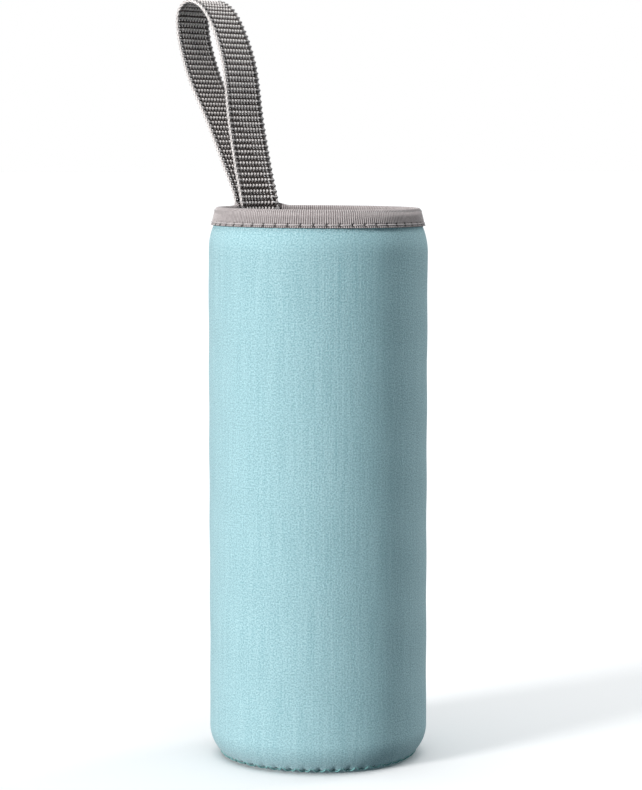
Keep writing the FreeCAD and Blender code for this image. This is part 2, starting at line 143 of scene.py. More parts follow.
# Socket numbers of the two colours that a mix node takes, and of the one it gives.
MIX_A, MIX_B, MIX_RESULT = 6, 7, 2


def soft_sun(name, bearing, elevation, strength, spread):
    """A sun at a bearing from the camera, in degrees to its right, and a height above the floor."""
    data = bpy.data.lights.new(name, "SUN")
    data.energy = strength
    data.angle = math.radians(spread)
    lamp = bpy.data.objects.new(name, data)
    level = rightward * math.sin(math.radians(bearing)) - toward * math.cos(math.radians(bearing))
    rise = math.radians(elevation)
    source = level * math.cos(rise) + Vector((0, 0, math.sin(rise)))
    lamp.location = source * LAMP_DISTANCE
    lamp.rotation_euler = source.to_track_quat("Z", "Y").to_euler()
    bpy.context.scene.collection.objects.link(lamp)
    return lamp


soft_sun("key", -50.0, 16.0, 2.95, 15.0)
soft_sun("side", 125.0, 20.0, 0.85, 25.0)
soft_sun("overhead", 0.0, 90.0, 2.1, 70.0)

world = bpy.data.worlds.new("pale_studio")
world.use_nodes = True
sky = world.node_tree
seen = sky.nodes.new("ShaderNodeLightPath").outputs["Is Camera Ray"]
bright = sky.nodes.new("ShaderNodeMapRange")
bright.inputs["To Min"].default_value = WORLD_GLOW
bright.inputs["To Max"].default_value = 1.0
sky.links.new(seen, bright.inputs["Value"])
tint = sky.nodes.new("ShaderNodeMix")
tint.data_type = "RGBA"
sky.links.new(seen, tint.inputs[0])
tint.inputs[MIX_A].default_value = WORLD_TINT
tint.inputs[MIX_B].default_value = WHITE
sky.links.new(tint.outputs[MIX_RESULT], sky.nodes["Background"].inputs["Color"])
sky.links.new(bright.outputs["Result"], sky.nodes["Background"].inputs["Strength"])
bpy.context.scene.world = world

# %% [markdown]
# The floor is one wide sheet of pale paper.  It could be a curved backdrop, but with a white
# world behind it a flat sheet has no visible end.  It takes shadows and throws no light back.

# %% Floor
FLOOR_HALF = 60.0
FLOOR_GREY = 0.93
floor_mesh = bpy.data.meshes.new("floor")
floor_corners = [(-FLOOR_HALF, -FLOOR_HALF, 0), (FLOOR_HALF, -FLOOR_HALF, 0),
                 (FLOOR_HALF, FLOOR_HALF, 0), (-FLOOR_HALF, FLOOR_HALF, 0)]
floor_mesh.from_pydata(floor_corners, [], [(0, 1, 2, 3)])
floor = bpy.data.objects.new("floor", floor_mesh)
bpy.context.scene.collection.objects.link(floor)
floor_paint = bpy.data.materials.new("floor_paper")
floor_paint.use_nodes = True
floor_shader = floor_paint.node_tree.nodes["Principled BSDF"]
floor_shader.inputs["Base Color"].default_value = (FLOOR_GREY, FLOOR_GREY, FLOOR_GREY, 1)
floor_shader.inputs["Roughness"].default_value = 1.0
floor_shader.inputs["Specular IOR Level"].default_value = 0.0
floor_mesh.materials.append(floor_paint)
floor.visible_diffuse = False
print(f"floor {2 * FLOOR_HALF:.0f} m wide")

# %% [markdown]
# Materials are node trees.  Small helpers keep them short: one adds a node and wires what it
# is given, one does arithmetic, and the rest make a colour ramp, a mix of colours and a fine
# relief.  A number given to a node goes on its socket, and a socket becomes a link.

# %% Helpers for node trees


def plug(tree, target, source):
    """Sets a socket to a number, or links another socket to it."""
    if isinstance(source, bpy.types.NodeSocket):
        tree.links.new(source, target)
    elif source is not None:
        target.default_value = source


def node(tree, kind, inputs=(), **settings):
    """Adds a node, sets its options, and fills its inputs by name or number."""
    made = tree.nodes.new(kind)
    for name, setting in settings.items():
        setattr(made, name, setting)
    for socket, source in dict(inputs).items():
        plug(tree, made.inputs[socket], source)
    return made


def calc(tree, operation, first, second=None, third=None):
    """One arithmetic node, as its output socket."""
    values = {0: first, 1: second, 2: third}
    used = {socket: value for socket, value in values.items() if value is not None}
    return node(tree, "ShaderNodeMath", used, operation=operation).outputs[0]


def ramp(tree, source, stops):
    """A colour ramp from (place, colour) stops."""
    made = node(tree, "ShaderNodeValToRGB", {"Fac": source})
    elements = made.color_ramp.elements
    while len(elements) < len(stops):
        elements.new(0.5)
    for element, (place, colour) in zip(elements, stops):
        element.position = place
        element.color = (*colour, 1.0)
    return made.outputs["Color"]


def new_material(name, roughness, sheen=0.0, sheen_roughness=0.5, specular=0.3):
    """A material whose fixed finish sits on the shader's own sockets."""
    material = bpy.data.materials.new(name)
    material.use_nodes = True
    tree = material.node_tree
    shader = tree.nodes["Principled BSDF"]
    shader.inputs["Roughness"].default_value = roughness
    shader.inputs["Sheen Weight"].default_value = sheen
    shader.inputs["Sheen Roughness"].default_value = sheen_roughness
    shader.inputs["Specular IOR Level"].default_value = specular
    return material, tree, shader


def bump(tree, shader, height, distance, strength=1.0):
    """Fine relief that is too small to be mesh."""
    made = node(tree, "ShaderNodeBump",
                {"Height": height, "Distance": distance, "Strength": strength})
    tree.links.new(made.outputs["Normal"], shader.inputs["Normal"])


def mixed_colour(tree, factor, first, second):
    """A mix of a linked colour and a fixed one, as its output socket."""
    made = node(tree, "ShaderNodeMix", {"Factor": factor, MIX_A: first, MIX_B: second},
                data_type="RGBA")
    return made.outputs[MIX_RESULT]


print("helpers:", [helper.__name__ for helper in (node, calc, ramp, bump, mixed_colour)])

# %% [markdown]
# The face of the foam is a fine jersey: columns of tiny V-shaped loops, half a millimetre
# wide, with a mottle and faint streaks because yarn is never even.  The pattern follows the
# cloth, so it reads the piece's own UV map, which is laid out in millimetres.

# %% Jersey knit


def knit_material(name, shade, light, wale=0.5, course=0.42):
    """Jersey: loops in columns, a mottle from uneven yarn, faint streaks up the tube, and a little painted
    shade in the furrows.
    """
    material, tree, shader = new_material(name, 0.85, sheen=0.35, sheen_roughness=0.45, specular=0.2)
    uv = node(tree, "ShaderNodeUVMap", uv_map="cloth_mm").outputs["UV"]
    split = node(tree, "ShaderNodeSeparateXYZ", {0: uv})
    across, along = split.outputs["X"], split.outputs["Y"]
    column = calc(tree, "PINGPONG", calc(tree, "DIVIDE", across, wale), 0.5)
    leaning = calc(tree, "MULTIPLY_ADD", column, 1.1, calc(tree, "DIVIDE", along, course))
    loop = calc(tree, "SINE", calc(tree, "MULTIPLY", leaning, 2 * math.pi))
    furrow = calc(tree, "MULTIPLY", column, 0.9)
    relief = calc(tree, "MULTIPLY_ADD", loop, 0.25, furrow)
    grain = node(tree, "ShaderNodeTexNoise",
                 {"Vector": uv, "Scale": 1.9, "Detail": 3.0, "Roughness": 0.65}).outputs["Fac"]
    stretched = node(tree, "ShaderNodeVectorMath", {0: uv, 1: (0.9, 0.035, 1.0)},
                     operation="MULTIPLY").outputs[0]
    streak = node(tree, "ShaderNodeTexNoise",
                  {"Vector": stretched, "Scale": 1.0, "Detail": 2.0, "Roughness": 0.5}).outputs["Fac"]
    mottle = calc(tree, "MULTIPLY_ADD", grain, 0.85, calc(tree, "MULTIPLY", streak, 0.15))
    # The loops' relief also tints the colour a little: painted shade in the furrows between the columns and
    # loops.
    mottle_and_furrow_shade = calc(tree, "MULTIPLY_ADD", relief, 0.06, mottle)
    tree.links.new(ramp(tree, mottle_and_furrow_shade, [(0.43, shade), (0.61, light)]), shader.inputs["Base Color"])
    height = calc(tree, "MULTIPLY_ADD", grain, 3.2, relief)
    bump(tree, shader, height, 0.1 * MM, 0.95)
    return material


AQUA = knit_material("aqua_jersey", (0.31, 0.565, 0.62), (0.56, 0.83, 0.88))
LINING = knit_material("charcoal_lining", (0.018, 0.019, 0.021), (0.045, 0.047, 0.05))
print("knits:", AQUA.name, LINING.name)

# %% [markdown]
# Foam rubber shows only at a cut edge: a dense black sponge with fine pores, painted darker in
# their pits as shade.  Thread is twisted, so a slanted stripe runs round it: ridges in the relief,
# and painted shade between them in the colour.  Both patterns are in the space of the piece.

# %% Foam and thread


def foam_material():
    """Closed-cell foam rubber: pores as a cell texture in the piece's own space, with painted shade in each
    pit.
    """
    material, tree, shader = new_material("foam_rubber", 0.9, specular=0.25)
    place = node(tree, "ShaderNodeTexCoord").outputs["Object"]
    pores = node(tree, "ShaderNodeTexVoronoi", {"Vector": place, "Scale": 3200.0}).outputs["Distance"]
    # The ramp darkens the middle of each pore: painted shade in the pit.
    colour = ramp(tree, pores, [(0.1, (0.012, 0.012, 0.013)), (0.8, (0.04, 0.04, 0.042))])
    tree.links.new(colour, shader.inputs["Base Color"])
    bump(tree, shader, pores, 0.08 * MM)
    return material


def thread_material(name, shade, light, twist_pitch=0.55):
    """Spun thread: stripes that lean across it, in space, at the pitch of the twist; the ridges are bump
    and the dark between them is painted shade.
    """
    material, tree, shader = new_material(name, 0.6, sheen=0.3, sheen_roughness=0.4)
    place = node(tree, "ShaderNodeTexCoord").outputs["Object"]
    split = node(tree, "ShaderNodeSeparateXYZ", {0: place})
    sides = calc(tree, "ADD", split.outputs["X"], split.outputs["Y"])
    leaning = calc(tree, "ADD", sides, calc(tree, "MULTIPLY", split.outputs["Z"], 1.7))
    twist_relief_and_shade = calc(tree, "SINE", calc(tree, "MULTIPLY", leaning, 2 * math.pi / (twist_pitch * MM)))
    tone = calc(tree, "MULTIPLY_ADD", twist_relief_and_shade, 0.5, 0.5)
    # The dark part of each stripe is painted shade between the twisted plies.
    tree.links.new(ramp(tree, tone, [(0.0, shade), (1.0, light)]), shader.inputs["Base Color"])
    bump(tree, shader, tone, 0.05 * MM)
    return material


FOAM = foam_material()
RIM_THREAD = thread_material("rim_thread", (0.4, 0.35, 0.345), (0.74, 0.69, 0.68))
SEAM_THREAD = thread_material("seam_thread", (0.13, 0.38, 0.37), (0.3, 0.6, 0.58))
print("foam and threads:", FOAM.name, RIM_THREAD.name, SEAM_THREAD.name)

# %% [markdown]
# The rim is bound with grosgrain, a tape whose thick crosswise yarns stand up as ribs.  Shade is
# painted into the colour between the ribs and in the needle holes, so the colour is worked out from the
# same rib and stitch counts that shape the mesh further down.

# %% Ribbed tape
RIM_RIBS = 296
RIM_STITCHES = 52


def tape_material(ribs, stitches, line):
    """Grosgrain tape: dull satin, with painted shade between the ribs and in the needle holes."""
    material, tree, shader = new_material("grosgrain_tape", 0.6, sheen=0.2, sheen_roughness=0.35)
    place = node(tree, "ShaderNodeTexCoord").outputs["Object"]
    split = node(tree, "ShaderNodeSeparateXYZ", {0: place})
    turn = calc(tree, "ARCTAN2", split.outputs["Y"], split.outputs["X"])
    rib = calc(tree, "COSINE", calc(tree, "MULTIPLY", turn, float(ribs)))
    weave = calc(tree, "SINE", calc(tree, "MULTIPLY", split.outputs["Z"], 2 * math.pi / (0.36 * MM)))
    rib_relief_and_shade = calc(tree, "MULTIPLY", rib, calc(tree, "MULTIPLY_ADD", weave, 0.35, 0.65))
    grain = node(tree, "ShaderNodeTexNoise",
                 {"Vector": place, "Scale": 900.0, "Detail": 3.0}).outputs["Fac"]
    # The colour follows the ribs: painted shade between them, where the relief is low.
    tone = calc(tree, "MULTIPLY_ADD", rib_relief_and_shade, 0.54, calc(tree, "MULTIPLY_ADD", grain, 0.5, 0.25))
    colour = ramp(tree, tone, [(0.2, (0.2, 0.165, 0.163)), (0.5, (0.42, 0.37, 0.365)),
                               (0.8, (0.6, 0.55, 0.54))])
    beat = calc(tree, "COSINE", calc(tree, "MULTIPLY", turn, float(stitches)))
    across = node(tree, "ShaderNodeMapRange",
                  {"Value": beat, "From Min": 0.6, "From Max": 0.85}, clamp=True)
    away = calc(tree, "ABSOLUTE", calc(tree, "SUBTRACT", split.outputs["Z"], line))
    along = node(tree, "ShaderNodeMapRange",
                 {"Value": away, "From Min": 0.8 * MM, "From Max": 0.4 * MM}, clamp=True)
    hole = calc(tree, "MULTIPLY", across.outputs["Result"], along.outputs["Result"])
    # The needle holes are painted near black: painted shade in the holes.
    colour_with_hole_shade = mixed_colour(tree, calc(tree, "MULTIPLY", hole, 0.9), colour, (0.025, 0.02, 0.02, 1.0))
    tree.links.new(colour_with_hole_shade, shader.inputs["Base Color"])
    bump(tree, shader, rib_relief_and_shade, 0.07 * MM)
    return material


TAPE = tape_material(RIM_RIBS, RIM_STITCHES, STITCH_LINE)
print(f"{TAPE.name}: {RIM_RIBS} ribs, {RIM_STITCHES} stitches, {len(bpy.data.materials)} materials")

# %% [markdown]
# The tube, the base and the binding are all round, so each is an outline turned about the Z
# axis.  A ring of points is made for every point of the outline, and a small function may then
# move each point, which is how seams pull in and how the rim lifts.

# %% Turned cloth pieces


def turned_piece(name, outline, steps, shape=None, material=None):
    """A closed outline of (radius, height), turned about Z, with a UV map in millimetres."""
    outline = np.array(outline, float)
    count = len(outline)
    angles = np.arange(steps) * (2 * math.pi / steps)
    radius = np.repeat(outline[:, 0][None, :], steps, 0)
    height = np.repeat(outline[:, 1][None, :], steps, 0)
    turn = np.repeat(angles[:, None], count, 1)
    if shape is not None:
        radius, height = shape(turn, radius, height)
    points = np.stack([radius * np.cos(turn), radius * np.sin(turn), height], 2).reshape(-1, 3)
    here = np.arange(steps)[:, None] * count + np.arange(count)[None, :]
    ahead = np.roll(here, -1, 0)
    faces = np.stack([here, ahead, np.roll(ahead, -1, 1), np.roll(here, -1, 1)], 2).reshape(-1, 4)
    mesh = bpy.data.meshes.new(name)
    mesh.from_pydata(points.tolist(), [], faces.tolist())
    closed = np.vstack([outline, outline[:1]])
    run = np.concatenate([[0], np.cumsum(np.hypot(*np.diff(closed, axis=0).T))])
    u_step = 2 * math.pi * outline[:, 0].max() / steps
    u = np.arange(steps + 1) * u_step / MM
    v = run / MM
    uv = np.empty((steps, count, 4, 2))
    uv[..., 0] = np.stack([u[:-1], u[1:], u[1:], u[:-1]], 1)[:, None, :]
    uv[..., 1] = np.stack([v[:-1], v[:-1], v[1:], v[1:]], 1)[None, :, :]
    layer = mesh.uv_layers.new(name="cloth_mm")
    layer.data.foreach_set("uv", uv.ravel().astype(np.float32))
    return finish_mesh(name, mesh, material)


def finish_mesh(name, mesh, material):
    """Welds doubles, points the faces outwards, smooths them and links the object."""
    work = bmesh.new()
    work.from_mesh(mesh)
    bmesh.ops.remove_doubles(work, verts=work.verts, dist=1e-7)
    bmesh.ops.recalc_face_normals(work, faces=work.faces)
    work.to_mesh(mesh)
    work.free()
    mesh.shade_smooth()
    if material:
        mesh.materials.append(material)
    made = bpy.data.objects.new(name, mesh)
    bpy.context.scene.collection.objects.link(made)
    print(f"{name}: {len(mesh.polygons)} faces")
    return made


def arc(centre, radius, first, last, count):
    """Points of a circular arc in (radius, height), from one angle in degrees to another."""
    angles = np.radians(np.linspace(first, last, count))
    return [(centre[0] + radius * math.cos(a), centre[1] + radius * math.sin(a)) for a in angles]


def straight(start, end, count):
    """Evenly spaced points from start up to, but not including, end."""
    start, end = np.array(start), np.array(end)
    return [tuple(start + (end - start) * i / count) for i in range(count)]


def smooth_step(value, low, high):
    """0 below low, 1 above high, and a smooth rise between."""
    t = np.clip((value - low) / (high - low), 0, 1)
    return t * t * (3 - 2 * t)


print("outlines are turned by", turned_piece.__name__)

# %% [markdown]
# The tube's face hangs straight, turns in at the foot to meet the base, and necks in under the
# binding.  Both bends are arcs that meet the wall without a corner, as foam bends.  The layers
# of the wall share one outline, each set in by the layers outside it.

# %% Outline of the tube
BASE_STITCHES = 42
FOOT_HEIGHT = 10.0 * MM
SEAM_RADIUS = BASE_RADIUS + 1.0 * MM
WALL_TOP = BINDING_FOOT - 8.0 * MM
BINDING_GAUGE = 0.6 * MM
MOUTH_RADIUS = BOBBIN_RADIUS - 0.24 * MM
PINCH_OUTER = BINDING_RADIUS - BINDING_GAUGE
PINCH_INNER = MOUTH_RADIUS + BINDING_GAUGE
BINDING_TAPER = 0.45 * MM


def foot_curve(inset, count):
    """The turn-in at the foot, from the seam up to the straight wall."""
    rise = FOOT_HEIGHT - SEAM_HEIGHT
    drop = FACE_RADIUS - SEAM_RADIUS
    bend = (rise ** 2 + drop ** 2) / (2 * drop)
    start = -math.degrees(math.asin(rise / (bend - inset)))
    return arc((FACE_RADIUS - bend, FOOT_HEIGHT), bend - inset, start, 0.0, count)


def neck_curve(inset, count):
    """The shoulder, from the straight wall in to the foot of the binding."""
    rise = BINDING_FOOT - WALL_TOP
    drop = FACE_RADIUS - PINCH_OUTER
    bend = (rise ** 2 + drop ** 2) / (2 * drop)
    end = math.degrees(math.asin(rise / bend))
    return arc((FACE_RADIUS - bend, WALL_TOP), bend - inset, 0.0, end, count)


def wall_side(inset):
    """Outer side of a layer of the wall, from the seam to the cut edge under the binding."""
    low = (FACE_RADIUS - inset, FOOT_HEIGHT)
    high = (FACE_RADIUS - inset, WALL_TOP)
    points = foot_curve(inset, 26)[:-1] + straight(low, high, 60) + neck_curve(inset, 14)[:-1]
    top = (PINCH_OUTER - inset - BINDING_TAPER, CUT_EDGE)
    return points + straight((PINCH_OUTER - inset, BINDING_FOOT), top, 3) + [top]


print(f"wall outline: {len(wall_side(0.0))} points, seam at radius {SEAM_RADIUS / MM:.1f} mm")

# %% [markdown]
# Each stitch of the base seam pulls a dimple into the foot, and the cloth between two stitches
# swells a little, so the lower edge is scalloped.  A cloth simulation could find this padded
# look, but one dimple per stitch is a rule, so it is written as one.  The wall is also never
# quite even, and the butted edges down the back leave a shallow furrow.

# %% How the cloth is pulled and swells
SEAM_SIDE = math.pi / 2
DIMPLE = 0.6 * MM
FURROW = 0.7 * MM


def stitch_dimple(turn, width):
    """1 at each stitch of the base seam and 0 half way between, over a width in metres."""
    phase = (turn * BASE_STITCHES / (2 * math.pi) + 0.5) % 1.0 - 0.5
    distance = phase * 2 * math.pi * SEAM_RADIUS / BASE_STITCHES
    return np.exp(-(distance / width) ** 2)


def foot_pucker(turn, radius, height):
    """Stitches pull the foot in, and the cloth between them swells down and out."""
    near_seam = np.exp(-((height - SEAM_HEIGHT) / (1.2 * MM)) ** 2)
    pull = stitch_dimple(turn, DIMPLE)
    swell = 0.5 - 0.5 * np.cos(turn * BASE_STITCHES)
    radius = radius - near_seam * (0.32 * MM * pull - 0.1 * MM * swell)
    height = height + near_seam * (0.25 * MM * pull - 0.1 * MM * swell)
    return radius, height


def uneven(turn, radius, height):
    """The slight unevenness of soft foam: long waves, a fifth of a millimetre deep at most."""
    wave = np.sin(3 * turn + 9.0 * height / FACE_RADIUS) + 0.6 * np.sin(7 * turn - 31 * height)
    middle = smooth_step(height, FOOT_HEIGHT / 2, FOOT_HEIGHT * 3)
    middle = middle * (1 - smooth_step(height, WALL_TOP, BINDING_FOOT))
    return radius - 0.07 * MM * (1.6 - wave) * middle, height


def face_shape(turn, radius, height):
    """All that moves the knit face: the uneven wall, the furrow and the puckered foot."""
    radius, height = uneven(turn, radius, height)
    around = (turn - SEAM_SIDE) * FACE_RADIUS / FURROW
    butt = np.exp(-around ** 2) * smooth_step(radius, PINCH_OUTER, FACE_RADIUS)
    return foot_pucker(turn, radius - 0.3 * FACE_GAUGE * butt, height)


print(f"{BASE_STITCHES} dimples, {2 * math.pi * SEAM_RADIUS / BASE_STITCHES / MM:.1f} mm apart")

# %% [markdown]
# The wall is three layers bonded into one sheet: knit outside, foam, thin knit inside.  Each
# could be a plain cylinder, but all three show at the mouth and the foot, so each is a closed
# piece with its own thickness.

# %% Tube: face, foam and lining
face_outline = wall_side(0.0) + wall_side(FACE_GAUGE)[::-1]
tube_face = turned_piece("tube_face", face_outline, BASE_STITCHES * 11, face_shape, AQUA)
lining_foot = BASE_RADIUS + FACE_GAUGE
lining_neck = PINCH_INNER + FACE_GAUGE
lining_side = [(lining_foot, SEAM_HEIGHT)]
lining_side += straight((lining_foot, BASE_TOP), (LINING_RADIUS, FOOT_HEIGHT), 4)
lining_side += straight((LINING_RADIUS, FOOT_HEIGHT), (LINING_RADIUS, WALL_TOP), 20)
lining_side += [(LINING_RADIUS, WALL_TOP), (lining_neck, BINDING_FOOT), (lining_neck, CUT_EDGE)]
foam_outline = wall_side(FACE_GAUGE) + lining_side[::-1]
tube_foam = turned_piece("tube_foam", foam_outline, BASE_STITCHES * 10, foot_pucker, FOAM)
lining_outline = lining_side + [(r - FACE_GAUGE, z) for r, z in lining_side[::-1]]
tube_lining = turned_piece("tube_lining", lining_outline, BASE_STITCHES * 6, None, LINING)

# %% [markdown]
# The base is a disc of the same laminate, set inside the foot of the tube.  Its underside is
# flat where it rests and curls up to the seam, where the same stitches dimple it.

# %% Base disc: face, foam and lining
HUB = 0.5 * MM
BASE_FLAT = BASE_RADIUS - 4.0 * MM
FOAM_TOP = BASE_TOP - FACE_GAUGE
edge_bend = ((BASE_RADIUS - BASE_FLAT) ** 2 + SEAM_HEIGHT ** 2) / (2 * SEAM_HEIGHT)
curl = math.degrees(math.asin((BASE_RADIUS - BASE_FLAT) / edge_bend))


def base_shape(turn, radius, height):
    """Dimples of the seam in the curled edge of the base."""
    near = smooth_step(radius, BASE_FLAT, BASE_RADIUS)
    return radius, height + near * 0.25 * MM * stitch_dimple(turn, DIMPLE)


under = [(HUB, 0.0)] + straight((HUB * 2, 0.0), (BASE_FLAT, 0.0), 24)
under += arc((BASE_FLAT, edge_bend), edge_bend, -90.0, -90.0 + curl, 10)
over = [(r, z + FACE_GAUGE) for r, z in under]


def disc(name, outline, shape, material):
    """A turned piece whose small hub is closed with a cap on each side."""
    made = turned_piece(name, outline, BASE_STITCHES * 10, shape, material)
    work = bmesh.new()
    work.from_mesh(made.data)
    layer = work.loops.layers.uv["cloth_mm"]
    hub = [f for f in work.faces if all(math.hypot(v.co.x, v.co.y) < HUB * 1.01 for v in f.verts)]
    bmesh.ops.delete(work, geom=hub, context="FACES_ONLY")
    open_edges = [edge for edge in work.edges if edge.is_boundary]
    caps = bmesh.ops.holes_fill(work, edges=open_edges, sides=0)["faces"]
    for cap in caps:
        for loop in cap.loops:
            loop[layer].uv = (loop.vert.co.x / MM, loop.vert.co.y / MM)
    bmesh.ops.recalc_face_normals(work, faces=work.faces)
    work.to_mesh(made.data)
    work.free()
    return made


base_face = disc("base_face", under + over[::-1], base_shape, AQUA)
base_foam = disc("base_foam", over + [(BASE_RADIUS, FOAM_TOP), (HUB, FOAM_TOP)], base_shape, FOAM)
lining_disc = [(HUB, FOAM_TOP), (BASE_RADIUS, FOAM_TOP), (BASE_RADIUS, BASE_TOP), (HUB, BASE_TOP)]
base_lining = disc("base_lining", lining_disc, None, LINING)

# %% [markdown]
# The binding is a tape folded over the cut edge, so its outline runs up the outside, over the
# crest, down the inside and back round the edge that it hides.  Only the outer skin carries
# ribs and stitch marks, and the mask says which points are on it.

# %% Outline of the binding
CREST = (BINDING_RADIUS - BINDING_TAPER - MOUTH_RADIUS) / 2
CREST_FOOT = RIM_TOP - CREST
crest_centre = (MOUTH_RADIUS + CREST, CREST_FOOT)
outer_face = straight((BINDING_RADIUS, BINDING_FOOT), (BINDING_RADIUS - BINDING_TAPER, CREST_FOOT), 22)
crest = arc(crest_centre, CREST, 0.0, 180.0, 14)[:-1]
inner_face = straight((MOUTH_RADIUS, CREST_FOOT), (MOUTH_RADIUS, BINDING_FOOT), 12)
inner_face += [(MOUTH_RADIUS, BINDING_FOOT)]
fold = [(PINCH_INNER, BINDING_FOOT), (PINCH_INNER, CUT_EDGE),
        (PINCH_OUTER - BINDING_TAPER, CUT_EDGE), (PINCH_OUTER, BINDING_FOOT)]
skin = outer_face + crest + inner_face
on_skin = np.array([1.0] * len(skin) + [0.0] * len(fold))
print(f"binding outline: {len(skin)} points of skin, {len(fold)} hidden in the fold")

# %% [markdown]
# The tape's ribs run up and over the rim, three quarters of a millimetre apart, so they are
# mesh.  The lockstitch sinks a groove all the way round and each needle hole is a pit.  The
# hem below it is scalloped, the rim leans in and lifts where the wrist loop pulls on it, and
# the inner end of the loop is let into it.

# %% Rim binding
LEAN_IN = 0.75 * MM
HEM_RISE = 0.6 * MM
LOOP_LIFT = 1.0 * MM


def angle_from_back(turn):
    """How far round a point is from the back of the sleeve, either way."""
    return np.abs((turn - SEAM_SIDE + math.pi) % (2 * math.pi) - math.pi)


def let_in_tail(turn, radius, height):
    """Presses the rim back where the inner end of the wrist loop is let into it."""
    half_turn = math.asin(STRAP_WIDTH / 2 / PINCH_INNER) + 0.02
    inside = 1 - smooth_step(angle_from_back(turn), half_turn, half_turn + 0.03)
    inside = inside * smooth_step(height, TAIL_LOW[2] - 1.0 * MM, TAIL_LOW[2])
    depth = TAIL_HIGH[1] + 0.1 * MM
    return np.where(radius < depth, radius + (depth - radius) * inside, radius), height


def binding_shape(turn, radius, height):
    """Ribs, the sunk stitch line with its needle holes, the tail's seat and the lifted rim."""
    side = np.where(radius > crest_centre[0], 1.0, -1.0)
    rib = 0.1 * MM * np.cos(RIM_RIBS * turn) * on_skin
    line = np.exp(-((height - STITCH_LINE) / (0.42 * MM)) ** 2) * on_skin
    phase = (turn * RIM_STITCHES / (2 * math.pi) + 0.5) % 1.0 - 0.5
    hole = np.exp(-(phase * 2 * math.pi * BINDING_RADIUS / RIM_STITCHES / (0.34 * MM)) ** 2)
    radius = radius + side * (rib - line * (0.26 + 0.4 * hole) * MM)
    outer_share = np.clip((radius - MOUTH_RADIUS) / (2 * CREST), 0, 1)
    raised = smooth_step(height, BINDING_FOOT, RIM_TOP)
    radius = radius - LEAN_IN * outer_share * raised * on_skin
    hem = np.exp(-((height - BINDING_FOOT) / (0.8 * MM)) ** 2) * on_skin
    scallop = 0.5 + 0.5 * np.cos(RIM_STITCHES * turn)
    radius = radius + side * hem * (0.12 - 0.16 * scallop) * MM
    from_back = angle_from_back(turn) * BINDING_RADIUS
    lift = LOOP_LIFT * (1 - smooth_step(from_back, STRAP_WIDTH / 2, STRAP_WIDTH / 2 + 6 * MM))
    hem_rise = HEM_RISE * (1 - smooth_step(height, BINDING_FOOT, STITCH_LINE))
    height = height + lift * raised + hem_rise
    return let_in_tail(turn, radius, height)


rim_tape = turned_piece("rim_tape", skin + fold, RIM_RIBS * 5, binding_shape, TAPE)
print(f"rib pitch {2 * math.pi * BINDING_RADIUS / RIM_RIBS / MM:.2f} mm")

# %% [markdown]
# Threads and yarns repeat, so Geometry Nodes make them.  Each tree gets named inputs for its
# sizes, and the helpers below start a tree, add maths to it, and turn its result into a plain
# mesh that no longer needs the modifier.

# %% Helpers for Geometry Nodes
INT = "NodeSocketInt"
FLOAT = "NodeSocketFloat"


def new_rule(name, sizes):
    """An empty tree with named inputs; returns the tree and its inputs' sockets by name."""
    tree = bpy.data.node_groups.new(name, "GeometryNodeTree")
    tree.interface.new_socket("Geometry", in_out="INPUT", socket_type="NodeSocketGeometry")
    tree.interface.new_socket("Geometry", in_out="OUTPUT", socket_type="NodeSocketGeometry")
    for label, kind in sizes.items():
        tree.interface.new_socket(label, in_out="INPUT", socket_type=kind)
    tree.interface.new_socket("Finish", in_out="INPUT", socket_type="NodeSocketMaterial")
    given = tree.nodes.new("NodeGroupInput").outputs
    return tree, given


def vec(tree, operation, first, second=None, scale=None):
    """One vector arithmetic node, as its output socket."""
    values = {0: first, 1: second, 3: scale}
    used = {socket: value for socket, value in values.items() if value is not None}
    return node(tree, "ShaderNodeVectorMath", used, operation=operation).outputs[0]


def xyz(tree, x=0.0, y=0.0, z=0.0):
    """A vector from three numbers or sockets."""
    return node(tree, "ShaderNodeCombineXYZ", {0: x, 1: y, 2: z}).outputs[0]


def thread_round(tree, curve, radius, sides):
    """Gives a curve its round section."""
    ring = node(tree, "GeometryNodeCurvePrimitiveCircle", {"Resolution": sides, "Radius": radius},
                mode="RADIUS")
    made = node(tree, "GeometryNodeCurveToMesh",
                {"Curve": curve, "Profile Curve": ring.outputs["Curve"], "Fill Caps": True})
    return made.outputs["Mesh"]


def end_rule(tree, geometry, finish):
    """Realize Instances, then Set Material, then the output."""
    real = node(tree, "GeometryNodeRealizeInstances", {"Geometry": geometry}).outputs["Geometry"]
    painted = node(tree, "GeometryNodeSetMaterial", {"Geometry": real, "Material": finish})
    plug(tree, tree.nodes.new("NodeGroupOutput").inputs["Geometry"], painted.outputs["Geometry"])


def grown(name, tree, values, finish, host=None):
    """Runs a tree on a host mesh and keeps the result as a plain mesh, faces outwards."""
    mesh = host if host is not None else bpy.data.meshes.new(name + "_seed")
    made = bpy.data.objects.new(name, mesh)
    bpy.context.scene.collection.objects.link(made)
    modifier = made.modifiers.new("rule", "NODES")
    modifier.node_group = tree
    for item in tree.interface.items_tree:
        if item.in_out == "INPUT" and item.name in values:
            modifier[item.identifier] = values[item.name]
        if item.in_out == "INPUT" and item.name == "Finish":
            modifier[item.identifier] = finish
    graph = bpy.context.evaluated_depsgraph_get()
    plain = bpy.data.meshes.new_from_object(made.evaluated_get(graph), depsgraph=graph)
    made.modifiers.remove(modifier)
    made.data = plain
    plain.name = name
    plain.shade_smooth()
    if enclosed(plain) < 0:
        plain.flip_normals()
    print(f"{name}: {len(plain.loop_triangles)} triangles, encloses {abs(enclosed(plain)) * 1e9:.1f} mm3")
    return made


